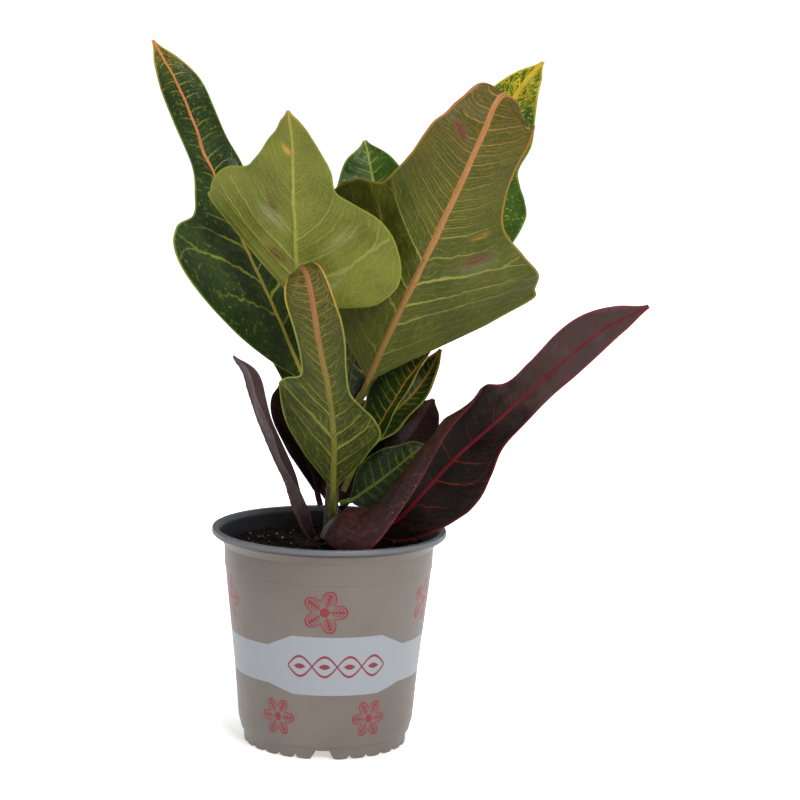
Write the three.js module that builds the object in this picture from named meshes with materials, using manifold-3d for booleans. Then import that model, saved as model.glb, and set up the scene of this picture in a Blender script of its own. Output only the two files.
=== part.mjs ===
// A potted croton: a small foliage plant with lobed, colourful leaves in a round plastic pot.
// Millimetres, +Z up. The origin is the centre of the pot's underside, where it rests.
// The photographed front of the plant looks along +Y, so -Y is the near side.
import * as THREE from "three";
import * as BufferGeometryUtils from "three/addons/utils/BufferGeometryUtils.js";
import Module from "manifold-3d";

// Driving dimensions of the pot.
const potHeight = 111;
const lipRadius = 60;
const wallTopRadius = 53.8;
const wallFootRadius = 43.3;
const footRadius = 41.8;
const wallThickness = 1.3;
const footHeight = 6.4;
const floorTop = 9.2;
const floorUnder = 7.6;
const padRadius = 12;
const upperRingHeight = 102.8;
const lowerRingHeight = 91.8;
const lowerRingRadius = 53;
const ringStep = 0.45;
const lipHeight = 2.6;
const lipRound = 0.9;
const lipRim = 3.2;
const flareHeight = 4;
const wallProfile = [
  [44.9, 13],
  [47.2, 40],
  [50, 65],
  [51.9, 82],
];

// The foot ring: four sets of six scallops, a wide notch between the sets.
const footUnits = 28;
const unitSegments = 3;
const scallopsPerSet = 6;
const scallopGap = 2.2;
const notchHeight = 4.5;
const footRingWidth = 2.2;
const drainHoles = 8;
const drainHoleRadius = 3.2;
const drainHoleCircle = 27;
const drainHoleSides = 12;

// The soil and the plant's clearances.
const gap = 0.3;
const soilTop = 102;
const soilMound = 1.5;
const soilBumps = 0.9;
const soilSegments = 40;
const soilRings = 7;
const stemHoleDepth = 45;

// The stem: a short woody trunk with knots where the leaves join it.
const stemPath = [
  [0, 0, 60],
  [0, 0, 100],
  [1, 1, 128],
  [2, 2, 152],
  [3, 2, 170],
];
const stemRadiusFoot = 5;
const stemRadiusTip = 2.6;
const stemScar = 0.3;
const stemRows = 28;
const stemSides = 10;
const budTipRadius = 0.8;

// Leaf blades.
const bladeThickness = 0.8;
const ribHeight = 1.1;
const ribHalfWidth = 1.5;
const petioleRadius = 1.5;
const petioleRows = 3;
const bladeRows = 18;
const smallRows = 12;
const halfCells = 3;
const waveTurns = 2.5;
const traceSteps = 120;

const potFinish = { color: 0x9a8f84, roughness: 0.5, metalness: 0 };
const soilFinish = { color: 0x2a1f1a, roughness: 0.95, metalness: 0 };
const barkFinish = { color: 0x5a5236, roughness: 0.8, metalness: 0 };
const green = { color: 0x2c4a1f, roughness: 0.35, metalness: 0 };
const olive = { color: 0x74802f, roughness: 0.6, metalness: 0 };
const maroon = { color: 0x3a1a26, roughness: 0.4, metalness: 0 };
const purple = { color: 0x1d1018, roughness: 0.4, metalness: 0 };

// One entry a leaf. The joint is its height on the stem in mm and its compass angle. The spine
// is the midrib's line from there to the tip, and petiole is the bare share of it. face is the
// compass angle that the upper side looks toward halfway along the blade. The lists run at even
// steps from the blade's foot to its tip: twist is the turn about the midrib, and each half has
// the width in mm, the forward sweep of its side veins, its fold up from flat and its curl
// across, in degrees. wave is the height of the waved edge in mm. A small leaf has fewer rows,
// and cells is the number of columns in each half where it isn't halfCells.
const leaves = [
  {
    name: "leaf_tall_left",
    finish: green,
    joint: [150, 125],
    spine: [[-9, 12, 172], [-20, 16, 195], [-32, 20, 221], [-48, 28, 252], [-65, 36, 287],
      [-83, 44, 329], [-98, 48, 355]],
    petiole: 0.16,
    face: 320,
    twist: [0],
    left: {
      width: [2, 34, 43, 38, 27, 25, 26, 23, 20, 17, 10, 1],
      sweep: [25, 38, 40, 35, 30],
      fold: [12, 8],
      curl: [0],
    },
    right: {
      width: [5, 45, 74, 63, 40, 30, 23, 20, 18, 17, 11, 1],
      sweep: [18, 38, 48, 35, 30],
      fold: [12, 8],
      curl: [0],
    },
    wave: 1.5,
  },
  {
    name: "leaf_front_left",
    finish: olive,
    joint: [156, 255],
    spine: [[-4, -12, 184], [-13, -19, 214], [-18, -26, 245], [-20, -36, 281],
      [-21, -44, 310], [-23, -48, 324]],
    petiole: 0.42,
    face: 75,
    twist: [0],
    left: {
      width: [20, 62, 61, 57, 49, 36, 29, 23, 18, 12, 7, 1],
      sweep: [46, 40, 42, 42, 38],
      fold: [14, 8],
      curl: [0],
    },
    right: {
      width: [32, 50, 52, 47, 36, 26, 24, 20.5, 16.5, 11.5, 6, 1],
      sweep: [-10, 15, 33, 40, 42, 40],
      fold: [8],
      curl: [0],
    },
    wave: 1.5,
  },
  {
    name: "leaf_front_right",
    finish: olive,
    joint: [150, 310],
    spine: [[14, -10, 178], [29, -19, 216], [45, -29, 252], [59, -35, 285], [71, -38, 314],
      [76, -36, 327], [81, -29, 334], [87, -18, 331], [92, -8, 319]],
    petiole: 0.18,
    face: 110,
    twist: [0, 0, 0, 0, -12],
    left: {
      width: [20, 56, 71, 62, 44, 36, 31, 28, 24, 16, 9, 1],
      sweep: [20, 30, 35, 27, 5, -24, -34],
      fold: [50, 40, 15, 12, 30],
      curl: [0],
    },
    right: {
      width: [56, 80, 74, 67, 51, 34, 28, 26, 26, 23, 15, 1],
      sweep: [40, 31, 23, 17, 14, 8, -15],
      fold: [5],
      curl: [0],
    },
    wave: 2,
  },
  {
    name: "leaf_low_front",
    finish: olive,
    joint: [116, 280],
    spine: [[2, -13, 124], [2, -19, 142], [2, -26, 161], [-1, -36, 187], [-6, -44, 212],
      [-9, -49, 231], [-12, -49, 244], [-15, -43, 248], [-17, -36, 245], [-17, -31, 239]],
    petiole: 0.13,
    face: 90,
    twist: [0],
    left: {
      width: [12, 38, 42, 34, 20, 16, 15, 15, 14, 12, 8, 1],
      sweep: [42, 50, 48, 40, 5, -5],
      fold: [14, 5],
      curl: [0],
    },
    right: {
      width: [14, 27, 24, 17, 11, 11, 13, 13, 11, 9, 6, 1],
      sweep: [36, 25, 12, 10, 0, -5],
      fold: [10, 5],
      curl: [0],
    },
    wave: 1,
  },
  {
    name: "leaf_back_right",
    finish: green,
    joint: [160, 40],
    spine: [[22, 14, 192], [36, 22, 228], [53, 30, 265], [78, 40, 309], [92, 46, 334],
      [104, 50, 349]],
    petiole: 0.2,
    face: 230,
    twist: [0],
    left: {
      width: [2, 40, 66, 70, 61, 48, 36, 33, 26, 19, 11, 1],
      sweep: [30, 35, 35, 35, 35],
      fold: [15, 8],
      curl: [0],
    },
    right: {
      width: [2, 20, 36, 46, 44, 32, 24, 24, 24, 17, 9, 1],
      sweep: [30, 35, 35, 35, 35],
      fold: [15, 8],
      curl: [0],
    },
    wave: 1.5,
  },
  {
    name: "leaf_back_centre",
    finish: green,
    joint: [164, 80],
    spine: [[11, 14, 206], [18, 20, 242], [20, 26, 272], [16, 31, 295], [13, 32, 307]],
    petiole: 0.3,
    face: 270,
    twist: [0],
    left: {
      width: [8, 26, 30, 27, 24, 19, 12, 1],
      sweep: [30, 20, 15, 30],
      fold: [15, 8],
      curl: [0],
    },
    right: {
      width: [8, 26, 30, 27, 26, 21, 14, 1],
      sweep: [30, 20, 15, 30],
      fold: [15, 8],
      curl: [0],
    },
    wave: 1.5,
    small: true,
    cells: 2,
  },
  {
    name: "leaf_inner_right",
    finish: green,
    joint: [130, 350],
    spine: [[16, -1, 151], [26, 0, 167], [36, 2, 184], [45, 4, 197], [51, 6, 206]],
    petiole: 0.1,
    face: 215,
    twist: [0],
    left: {
      width: [2, 10, 15, 15, 9, 8, 5, 1],
      sweep: [20],
      fold: [25],
      curl: [0],
    },
    right: {
      width: [2, 8, 13, 17, 16, 13, 8, 1],
      sweep: [20],
      fold: [25],
      curl: [0],
    },
    wave: 1.5,
    small: true,
    cells: 2,
  },
  {
    name: "leaf_long_right",
    finish: maroon,
    joint: [113, 300],
    spine: [[9, -8, 115], [20, -14, 116], [33, -19, 118], [47, -24, 134], [63, -26, 153],
      [82, -26, 171], [109, -26, 197], [133, -24, 218], [157, -20, 231]],
    petiole: 0.05,
    face: 270,
    twist: [0],
    left: {
      width: [2, 9, 22, 25, 20, 12.5, 11, 10, 10, 9, 6, 1],
      sweep: [20],
      fold: [5],
      curl: [0],
    },
    right: {
      width: [24, 48, 45, 43, 43, 35, 15, 13, 14, 13, 8, 1],
      sweep: [-30, 0, 20, 30, 20, 20],
      fold: [0],
      curl: [165, 172, 162, 146, 124, 96, 20, 0, 0, 0, 0, 0],
    },
    wave: 2,
    cells: 5,
  },
  {
    name: "leaf_thin_left",
    finish: maroon,
    joint: [108, 260],
    spine: [[0, -14, 108], [-9, -25, 110], [-16, -31, 124], [-21, -31, 139],
      [-29, -30, 155], [-38, -28, 176], [-44, -26, 193], [-49, -25, 201]],
    petiole: 0.16,
    face: 345,
    twist: [30, 0, 0],
    left: {
      width: [5, 9, 8, 7, 8, 9, 8, 1],
      sweep: [30],
      fold: [50],
      curl: [0],
    },
    right: {
      width: [5, 9, 8, 7, 8, 9, 8, 1],
      sweep: [30],
      fold: [50],
      curl: [0],
    },
    wave: 1,
    small: true,
    cells: 2,
  },
  {
    name: "leaf_dark_left",
    finish: purple,
    joint: [122, 195],
    spine: [[-9, 2, 136], [-15, 3, 150], [-22, 4, 168], [-26.5, 4, 184]],
    petiole: 0.1,
    face: 300,
    twist: [0],
    left: {
      width: [4, 10, 11, 10, 9, 8, 6, 1],
      sweep: [30],
      fold: [10],
      curl: [0],
    },
    right: {
      width: [2, 6, 8, 10, 12, 11, 8, 1],
      sweep: [30],
      fold: [10],
      curl: [0],
    },
    wave: 1,
    small: true,
    cells: 2,
  },
  {
    name: "leaf_mid_right",
    finish: green,
    joint: [138, 45],
    spine: [[16, 13, 154], [27, 18, 164], [40, 23, 176], [49, 27, 188], [55, 31, 200]],
    petiole: 0.1,
    face: 230,
    twist: [0],
    left: {
      width: [2, 10, 13, 12, 10, 8, 5, 1],
      sweep: [25],
      fold: [20],
      curl: [0],
    },
    right: {
      width: [2, 10, 13, 13, 12, 10, 6, 1],
      sweep: [25],
      fold: [20],
      curl: [0],
    },
    wave: 1.5,
    small: true,
    cells: 2,
  },
  {
    name: "leaf_low_centre",
    finish: green,
    joint: [124, 330],
    spine: [[12, -6, 127], [21, -9, 134], [32, -11, 143], [42, -11, 152], [49, -9, 156]],
    petiole: 0.1,
    face: 230,
    twist: [0],
    left: {
      width: [2, 14, 18, 18, 16, 12, 8, 1],
      sweep: [20],
      fold: [15],
      curl: [0],
    },
    right: {
      width: [2, 10, 14, 14, 12, 9, 6, 1],
      sweep: [20],
      fold: [15],
      curl: [0],
    },
    wave: 1,
    small: true,
    cells: 2,
  },
  {
    name: "leaf_dark_right",
    finish: purple,
    joint: [120, 30],
    spine: [[14, 12, 128], [25, 21, 138], [39, 29, 153], [47, 34, 165], [52, 37, 173]],
    petiole: 0.1,
    face: 240,
    twist: [0],
    left: {
      width: [2, 13, 18, 20, 18, 14, 9, 1],
      sweep: [25],
      fold: [12],
      curl: [0],
    },
    right: {
      width: [2, 12, 16, 16, 14, 12, 8, 1],
      sweep: [25],
      fold: [12],
      curl: [0],
    },
    wave: 1.5,
    small: true,
    cells: 2,
  },
  {
    name: "leaf_rear_left",
    finish: green,
    joint: [142, 120],
    spine: [[-12, 18, 160], [-22, 32, 186], [-30, 46, 215], [-36, 58, 240], [-38, 66, 256]],
    petiole: 0.2,
    face: 310,
    twist: [0],
    left: {
      width: [2, 20, 24, 20, 16, 14, 9, 1],
      sweep: [30],
      fold: [12],
      curl: [0],
    },
    right: {
      width: [2, 12, 20, 22, 18, 16, 10, 1],
      sweep: [30],
      fold: [12],
      curl: [0],
    },
    wave: 2,
    small: true,
    cells: 2,
  },
  {
    name: "leaf_rear_right",
    finish: green,
    joint: [146, 80],
    spine: [[10, 26, 168], [18, 44, 194], [28, 60, 222], [34, 74, 246], [38, 86, 262]],
    petiole: 0.2,
    face: 240,
    twist: [0],
    left: {
      width: [2, 24, 32, 28, 20, 17, 11, 1],
      sweep: [30],
      fold: [12],
      curl: [0],
    },
    right: {
      width: [2, 24, 32, 28, 20, 17, 11, 1],
      sweep: [30],
      fold: [12],
      curl: [0],
    },
    wave: 2,
    small: true,
    cells: 2,
  },
  {
    name: "leaf_rear_low",
    finish: maroon,
    joint: [118, 95],
    spine: [[0, 18, 122], [4, 36, 132], [10, 54, 146], [15, 70, 158], [18, 84, 164]],
    petiole: 0.08,
    face: 270,
    twist: [0],
    left: {
      width: [10, 22, 26, 22, 18, 14, 9, 1],
      sweep: [30],
      fold: [12],
      curl: [0],
    },
    right: {
      width: [10, 22, 26, 22, 18, 14, 9, 1],
      sweep: [30],
      fold: [12],
      curl: [0],
    },
    wave: 2,
    small: true,
    cells: 2,
  },
];

const linear = THREE.MathUtils.lerp;
const radians = THREE.MathUtils.degToRad;

// A value from a short list, smoothly interpolated at share 0 to 1 along it.
function along(list, share) {
  if (list.length === 1) return list[0];
  const place = THREE.MathUtils.clamp(share, 0, 1) * (list.length - 1);
  const i = Math.min(Math.floor(place), list.length - 2);
  const before = list[Math.max(i - 1, 0)];
  const after = list[Math.min(i + 2, list.length - 1)];
  const u = place - i;
  const rise = (list[i + 1] - before) / 2;
  const run = (after - list[i]) / 2;
  const a = 2 * u ** 3 - 3 * u ** 2 + 1;
  const b = u ** 3 - 2 * u ** 2 + u;
  const c = u ** 3 - u ** 2;
  return a * list[i] + b * rise + (1 - a) * list[i + 1] + c * run;
}

// The stem's centre and radius at a height.
function stemAt(height) {
  const upper = Math.max(1, stemPath.findIndex((p) => p[2] >= height));
  const [low, high] = [stemPath[upper - 1], stemPath[upper]];
  const share = (height - low[2]) / (high[2] - low[2]);
  const climb = (height - stemPath[0][2]) / (stemPath.at(-1)[2] - stemPath[0][2]);
  const centre = new THREE.Vector3(...low).lerp(new THREE.Vector3(...high), share);
  return { centre, radius: linear(stemRadiusFoot, stemRadiusTip, climb) };
}

// Where a petiole meets the stem, just clear of its bark: height in mm and compass angle.
function jointPoint(height, angle) {
  const { centre, radius } = stemAt(height);
  const out = radius + stemScar + petioleRadius + gap;
  return centre.add(new THREE.Vector3(out * Math.cos(radians(angle)), out * Math.sin(radians(angle)), 0));
}

// The midrib's point, direction and side direction at even steps. The side direction is set
// halfway along the blade and carried both ways from there without any spin of its own.
function traceSpine(leaf) {
  const spine = [jointPoint(...leaf.joint), ...leaf.spine.map((p) => new THREE.Vector3(...p))];
  const curve = new THREE.CatmullRomCurve3(spine);
  curve.curveType = "catmullrom";
  curve.arcLengthDivisions = 400;
  const trace = [];
  for (let step = 0; step <= traceSteps; step += 1) {
    const share = step / traceSteps;
    trace.push({ point: curve.getPointAt(share), forward: curve.getTangentAt(share).normalize() });
  }
  const facing = radians(leaf.face);
  const upperSide = new THREE.Vector3(Math.cos(facing), Math.sin(facing), 0);
  const middle = Math.round(traceSteps * (1 + leaf.petiole) / 2);
  trace[middle].side = trace[middle].forward.clone().cross(upperSide).normalize();
  const carry = (from, to) => {
    const { forward } = trace[to];
    const { side } = trace[from];
    trace[to].side = side.clone().addScaledVector(forward, -side.dot(forward)).normalize();
  };
  for (let step = middle; step < traceSteps; step += 1) carry(step, step + 1);
  for (let step = middle; step > 0; step -= 1) carry(step, step - 1);
  return trace;
}

// A point of the blade's middle surface, at a share along the midrib and a reach out along the
// side vein of one half, both in 0 to 1. The side is 1 for the left half and -1 for the right.
function bladePoint(leaf, trace, share, side, reachShare) {
  const place = share * traceSteps;
  const i = Math.min(Math.floor(place), traceSteps - 1);
  const point = trace[i].point.clone().lerp(trace[i + 1].point, place - i);
  const forward = trace[i].forward.clone().lerp(trace[i + 1].forward, place - i).normalize();
  const across = trace[i].side.clone().lerp(trace[i + 1].side, place - i).normalize();
  const blade = Math.max(0, (share - leaf.petiole) / (1 - leaf.petiole));
  const half = side > 0 ? leaf.left : leaf.right;
  across.applyAxisAngle(forward, radians(along(leaf.twist, blade)));
  const up = across.clone().cross(forward).normalize();
  if (share < leaf.petiole) {
    return point.addScaledVector(across, side * petioleRadius * reachShare);
  }
  const width = along(half.width, blade);
  const inner = Math.min(ribHalfWidth / width, 0.3);
  const first = 1 / (leaf.cells ?? halfCells);
  const reach = reachShare <= first ? inner * reachShare / first
    : linear(inner, 1, (reachShare - first) / (1 - first));
  const fold = radians(along(half.fold, blade));
  const turn = radians(along(half.curl, blade)) * reach;
  const sweep = radians(along(half.sweep, blade));
  const straight = Math.abs(turn) < 1e-4;
  const flat = straight ? Math.cos(fold) : (Math.sin(fold + turn) - Math.sin(fold)) / turn;
  const rise = straight ? Math.sin(fold) : (Math.cos(fold) - Math.cos(fold + turn)) / turn;
  const out = width * reach;
  const swell = Math.sin(Math.PI * blade) * reach ** 2;
  const ripple = leaf.wave * swell * Math.sin(waveTurns * 2 * Math.PI * blade + side);
  point.addScaledVector(across, side * out * flat * Math.cos(sweep));
  point.addScaledVector(forward, out * Math.sin(sweep));
  return point.addScaledVector(up, out * rise * Math.cos(sweep) + ripple);
}

// A leaf and its petiole as one closed body: two faces of the same grid, joined at the rim.
function leafGeometry(leaf) {
  const trace = traceSpine(leaf);
  const shares = [];
  for (let row = 0; row < petioleRows; row += 1) {
    shares.push(leaf.petiole * row / petioleRows);
  }
  const rows = leaf.small ? smallRows : bladeRows;
  for (let row = 0; row <= rows; row += 1) {
    shares.push(linear(leaf.petiole, 1, row / rows));
  }
  const cells = leaf.cells ?? halfCells;
  const columns = [];
  for (let cell = -cells; cell <= cells; cell += 1) {
    columns.push(cell / cells);
  }
  const middle = shares.map((share) => columns.map(
    (column) => bladePoint(leaf, trace, share, Math.sign(column) || 1, Math.abs(column))));
  const upper = [];
  const lower = [];
  const lastRow = shares.length - 1;
  const lastColumn = columns.length - 1;
  for (let row = 0; row <= lastRow; row += 1) {
    const inPetiole = shares[row] < leaf.petiole;
    const taper = 1 - Math.max(0, shares[row] - leaf.petiole) / (1 - leaf.petiole);
    for (let column = 0; column <= lastColumn; column += 1) {
      const point = middle[row][column];
      const ahead = middle[Math.min(row + 1, lastRow)][column].clone()
        .sub(middle[Math.max(row - 1, 0)][column]);
      const beside = middle[row][Math.min(column + 1, lastColumn)].clone()
        .sub(middle[row][Math.max(column - 1, 0)]);
      const normal = beside.cross(ahead).normalize();
      const round = petioleRadius * Math.sqrt(Math.max(0.12, 1 - columns[column] ** 2));
      const rib = columns[column] === 0 ? ribHeight * taper : 0;
      const above = inPetiole ? round : bladeThickness / 2;
      const below = inPetiole ? round : bladeThickness / 2 + rib;
      upper.push(point.clone().addScaledVector(normal, above));
      lower.push(point.clone().addScaledVector(normal, -below));
    }
  }
  return closeSheet(upper, lower, lastRow, lastColumn);
}

// Two matching grids of points joined into one closed body. Both faces split alike.
function closeSheet(upper, lower, lastRow, lastColumn) {
  const width = lastColumn + 1;
  const offset = upper.length;
  const triangles = [];
  const quad = (a, b, c, d) => triangles.push(a, b, c, a, c, d);
  for (let row = 0; row < lastRow; row += 1) {
    for (let column = 0; column < lastColumn; column += 1) {
      const a = row * width + column;
      const b = a + 1;
      const c = b + width;
      const d = a + width;
      quad(a, b, c, d);
      triangles.push(offset + a, offset + c, offset + b, offset + a, offset + d, offset + c);
    }
    const left = row * width;
    const right = left + lastColumn;
    quad(left, left + width, left + width + offset, left + offset);
    quad(right + width, right, right + offset, right + width + offset);
  }
  for (let column = 0; column < lastColumn; column += 1) {
    const last = lastRow * width + column;
    quad(column + 1, column, column + offset, column + 1 + offset);
    quad(last, last + 1, last + 1 + offset, last + offset);
  }
  return indexedGeometry([...upper, ...lower], triangles);
}

function indexedGeometry(points, triangles) {
  const geometry = new THREE.BufferGeometry();
  geometry.setFromPoints(points);
  geometry.setIndex(triangles);
  geometry.computeVertexNormals();
  return geometry;
}

// A closed body turned about Z from a profile of [radius, height] that starts and ends on the
// axis, with its shared points merged.
function turned(profile, segments) {
  const points = profile.map(([radius, height]) => new THREE.Vector2(radius, height));
  const geometry = new THREE.LatheGeometry(points, segments);
  geometry.deleteAttribute("normal");
  geometry.deleteAttribute("uv");
  return BufferGeometryUtils.mergeVertices(geometry.rotateX(Math.PI / 2), 1e-3);
}

// Moves each point of a geometry by a rule that gets its radius, compass angle and height.
function lift(geometry, rule) {
  const { position } = geometry.attributes;
  for (let i = 0; i < position.count; i += 1) {
    const [x, y, z] = [position.getX(i), position.getY(i), position.getZ(i)];
    position.setZ(i, z + rule(Math.hypot(x, y), Math.atan2(y, x), z));
  }
  return geometry;
}

// How far the foot ring's underside is raised at a compass angle: flat scallops stand on the
// ground, with a small gap between two of them and a wide notch between the sets.
function footRise(angle) {
  const segment = 2 * Math.PI / (footUnits * unitSegments);
  const fromFront = (angle + 2.5 * Math.PI) / segment + unitSegments / 2;
  const step = Math.round(fromFront) % ((scallopsPerSet + 1) * unitSegments);
  if (step <= unitSegments) return notchHeight;
  return step % unitSegments === 0 ? scallopGap : 0;
}

function potGeometry() {
  const w = wallThickness;
  const underside = [
    [0, 0],
    [padRadius, 0],
    [padRadius + 0.8, floorUnder],
    [footRadius - footRingWidth, floorUnder],
    [footRadius - footRingWidth + 0.7, 0],
  ];
  const outside = [
    [footRadius, 0],
    [footRadius + 0.4, footHeight - 0.6],
    [wallFootRadius, footHeight + 0.4],
    ...wallProfile,
    [lowerRingRadius - ringStep / 2, lowerRingHeight - ringStep],
    [lowerRingRadius + ringStep / 2, lowerRingHeight],
    [wallTopRadius - ringStep / 2, upperRingHeight - ringStep],
    [wallTopRadius + ringStep / 2, upperRingHeight],
    [wallTopRadius + 1.4, upperRingHeight + flareHeight / 2],
    [wallTopRadius + 3.4, upperRingHeight + flareHeight],
    [lipRadius - lipRound, potHeight - lipHeight - lipRound],
    [lipRadius, potHeight - lipHeight],
    [lipRadius, potHeight - lipRound],
    [lipRadius - lipRound, potHeight],
    [lipRadius - lipRim + lipRound, potHeight],
  ];
  const inside = [
    [lipRadius - lipRim, potHeight - lipRound],
    [wallTopRadius + 1.8, upperRingHeight + flareHeight],
    [wallTopRadius - w, upperRingHeight],
    [lowerRingRadius - w, lowerRingHeight],
    ...wallProfile.toReversed().map(([radius, height]) => [radius - w, height]),
    [wallFootRadius - w, floorTop],
    [0, floorTop],
  ];
  const body = turned([...underside, ...outside, ...inside], footUnits * unitSegments);
  const onFootRing = (radius, height) => radius > padRadius + 1 && height < 0.01;
  lift(body, (radius, angle, height) => (onFootRing(radius, height) ? footRise(angle) : 0));
  return cutHoles(body);
}

// The drain holes, cut through the floor on one circle.
function cutHoles(body) {
  let pot = toSolid(body);
  for (let i = 0; i < drainHoles; i += 1) {
    const angle = 2 * Math.PI * (i + 0.5) / drainHoles;
    const drill = new THREE.CylinderGeometry(drainHoleRadius, drainHoleRadius, 2 * floorTop, drainHoleSides);
    drill.rotateX(Math.PI / 2);
    drill.translate(drainHoleCircle * Math.cos(angle), drainHoleCircle * Math.sin(angle), floorTop);
    drill.deleteAttribute("normal");
    drill.deleteAttribute("uv");
    pot = pot.subtract(toSolid(BufferGeometryUtils.mergeVertices(drill, 1e-3)));
  }
  const mesh = pot.getMesh();
  const geometry = new THREE.BufferGeometry();
  geometry.setAttribute("position", new THREE.BufferAttribute(mesh.vertProperties, 3));
  geometry.setIndex(Array.from(mesh.triVerts));
  geometry.computeVertexNormals();
  return geometry;
}

function toSolid(geometry) {
  return new wasm.Manifold(new wasm.Mesh({
    numProp: 3,
    vertProperties: new Float32Array(geometry.attributes.position.array),
    triVerts: new Uint32Array(geometry.index.array),
  }));
}

// The soil fills the pot with a small clearance, mounded and crumbly on top, with a plain hole
// for the stem.
function soilGeometry() {
  const inset = wallThickness + gap;
  const holeRadius = stemRadiusFoot + gap;
  const edgeRadius = wallTopRadius - inset - 0.5;
  const holeBottom = soilTop - stemHoleDepth;
  const top = [];
  for (let ring = 0; ring <= soilRings; ring += 1) {
    const share = ring / soilRings;
    top.push([linear(edgeRadius, holeRadius, share), soilTop + soilMound * (1 - (1 - share) ** 2)]);
  }
  const profile = [
    [0, floorTop + gap],
    [wallFootRadius - inset - 0.8, floorTop + gap],
    ...wallProfile.map(([radius, height]) => [radius - inset - 0.2, height]),
    [lowerRingRadius - inset - 0.2, lowerRingHeight],
    ...top,
    [holeRadius, holeBottom],
    [0, holeBottom],
  ];
  return lift(turned(profile, soilSegments), (radius, angle, height) => {
    if (height < soilTop - 1 || radius < holeRadius + 1) return 0;
    const waves = Math.sin(3 * angle + radius / 3) + Math.sin(7 * angle - radius / 5)
      + Math.sin(11 * angle + radius);
    return soilBumps * waves / 3;
  });
}

// The stem: a tapering tube along its path with low leaf scars, closed by a pointed bud.
function stemGeometry() {
  const rows = [];
  const foot = stemPath[0][2];
  const tip = stemPath.at(-1)[2];
  for (let row = 0; row <= stemRows; row += 1) {
    const height = linear(foot, tip, row / stemRows);
    const { centre, radius } = stemAt(height);
    const scar = height > soilTop && row % 2 === 0 ? stemScar : 0;
    const size = row === stemRows ? budTipRadius : radius + scar;
    const ring = [];
    for (let i = 0; i < stemSides; i += 1) {
      const angle = 2 * Math.PI * i / stemSides;
      ring.push(centre.clone().add(new THREE.Vector3(size * Math.cos(angle), size * Math.sin(angle), 0)));
    }
    rows.push(ring);
  }
  const points = rows.flat();
  const triangles = [];
  for (let row = 0; row < stemRows; row += 1) {
    for (let i = 0; i < stemSides; i += 1) {
      const a = row * stemSides + i;
      const b = row * stemSides + (i + 1) % stemSides;
      triangles.push(a, b, b + stemSides, a, b + stemSides, a + stemSides);
    }
  }
  const last = stemRows * stemSides;
  for (let i = 1; i < stemSides - 1; i += 1) {
    triangles.push(0, i + 1, i, last, last + i, last + i + 1);
  }
  return indexedGeometry(points, triangles);
}

const wasm = await Module();
wasm.setup();

const plant = new THREE.Group();

function addPiece(name, geometry, finish) {
  const piece = new THREE.Mesh(geometry, new THREE.MeshStandardMaterial(finish));
  piece.name = name;
  plant.add(piece);
}

addPiece("pot", potGeometry(), potFinish);
addPiece("soil", soilGeometry(), soilFinish);
addPiece("stem", stemGeometry(), barkFinish);
for (const leaf of leaves) {
  addPiece(leaf.name, leafGeometry(leaf), leaf.finish);
}

export default plant;
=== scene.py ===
import math
import random
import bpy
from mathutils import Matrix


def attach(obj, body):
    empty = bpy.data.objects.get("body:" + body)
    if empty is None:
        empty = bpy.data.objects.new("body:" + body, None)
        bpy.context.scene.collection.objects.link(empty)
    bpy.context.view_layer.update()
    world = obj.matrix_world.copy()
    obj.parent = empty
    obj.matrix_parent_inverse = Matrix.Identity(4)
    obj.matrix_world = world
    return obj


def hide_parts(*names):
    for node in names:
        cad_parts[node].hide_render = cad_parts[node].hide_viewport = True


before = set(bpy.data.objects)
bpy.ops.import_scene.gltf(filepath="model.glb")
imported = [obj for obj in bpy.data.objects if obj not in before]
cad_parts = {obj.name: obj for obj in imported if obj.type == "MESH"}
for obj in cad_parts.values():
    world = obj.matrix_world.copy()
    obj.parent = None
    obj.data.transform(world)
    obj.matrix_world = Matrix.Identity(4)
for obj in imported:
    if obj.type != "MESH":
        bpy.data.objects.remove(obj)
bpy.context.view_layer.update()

from types import SimpleNamespace as Named

import bmesh
import bpy
import numpy as np
from mathutils import Matrix, Vector, noise

# A potted croton at real size, in metres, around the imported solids.
# Lengths in the dictionaries are millimetres, angles are degrees, and colours are the
# six-figure screen colours that Blender's colour picker shows.
millimetre = 0.001
clearance = 0.3


def linear(code):
    # a screen colour as the linear one that a shader takes
    parts = [int(code[i:i + 2], 16) / 255 for i in (0, 2, 4)]
    return [part / 12.92 if part <= 0.04045 else ((part + 0.055) / 1.055) ** 2.4
            for part in parts] + [1]


class Value:
    # one socket in a sum; each operator adds a Math node
    def __init__(self, finish, socket):
        self.finish, self.socket = finish, socket

    def math(self, operation, *others):
        return self.finish.math(operation, self, *others)

    def __abs__(self):
        return self.math("ABSOLUTE")

    def __gt__(self, other):
        return self.math("GREATER_THAN", other)

    def __lt__(self, other):
        return self.math("LESS_THAN", other)

    def fract(self):
        return self.math("FRACT")


def overload(name, operation):
    # an operator and its reflected form
    setattr(Value, f"__{name}__", lambda one, other: one.finish.math(operation, one, other))
    setattr(Value, f"__r{name}__", lambda one, other: one.finish.math(operation, other, one))


for name, operation in (("add", "ADD"), ("sub", "SUBTRACT"), ("mul", "MULTIPLY"),
                        ("truediv", "DIVIDE"), ("or", "MAXIMUM")):
    overload(name, operation)


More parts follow.
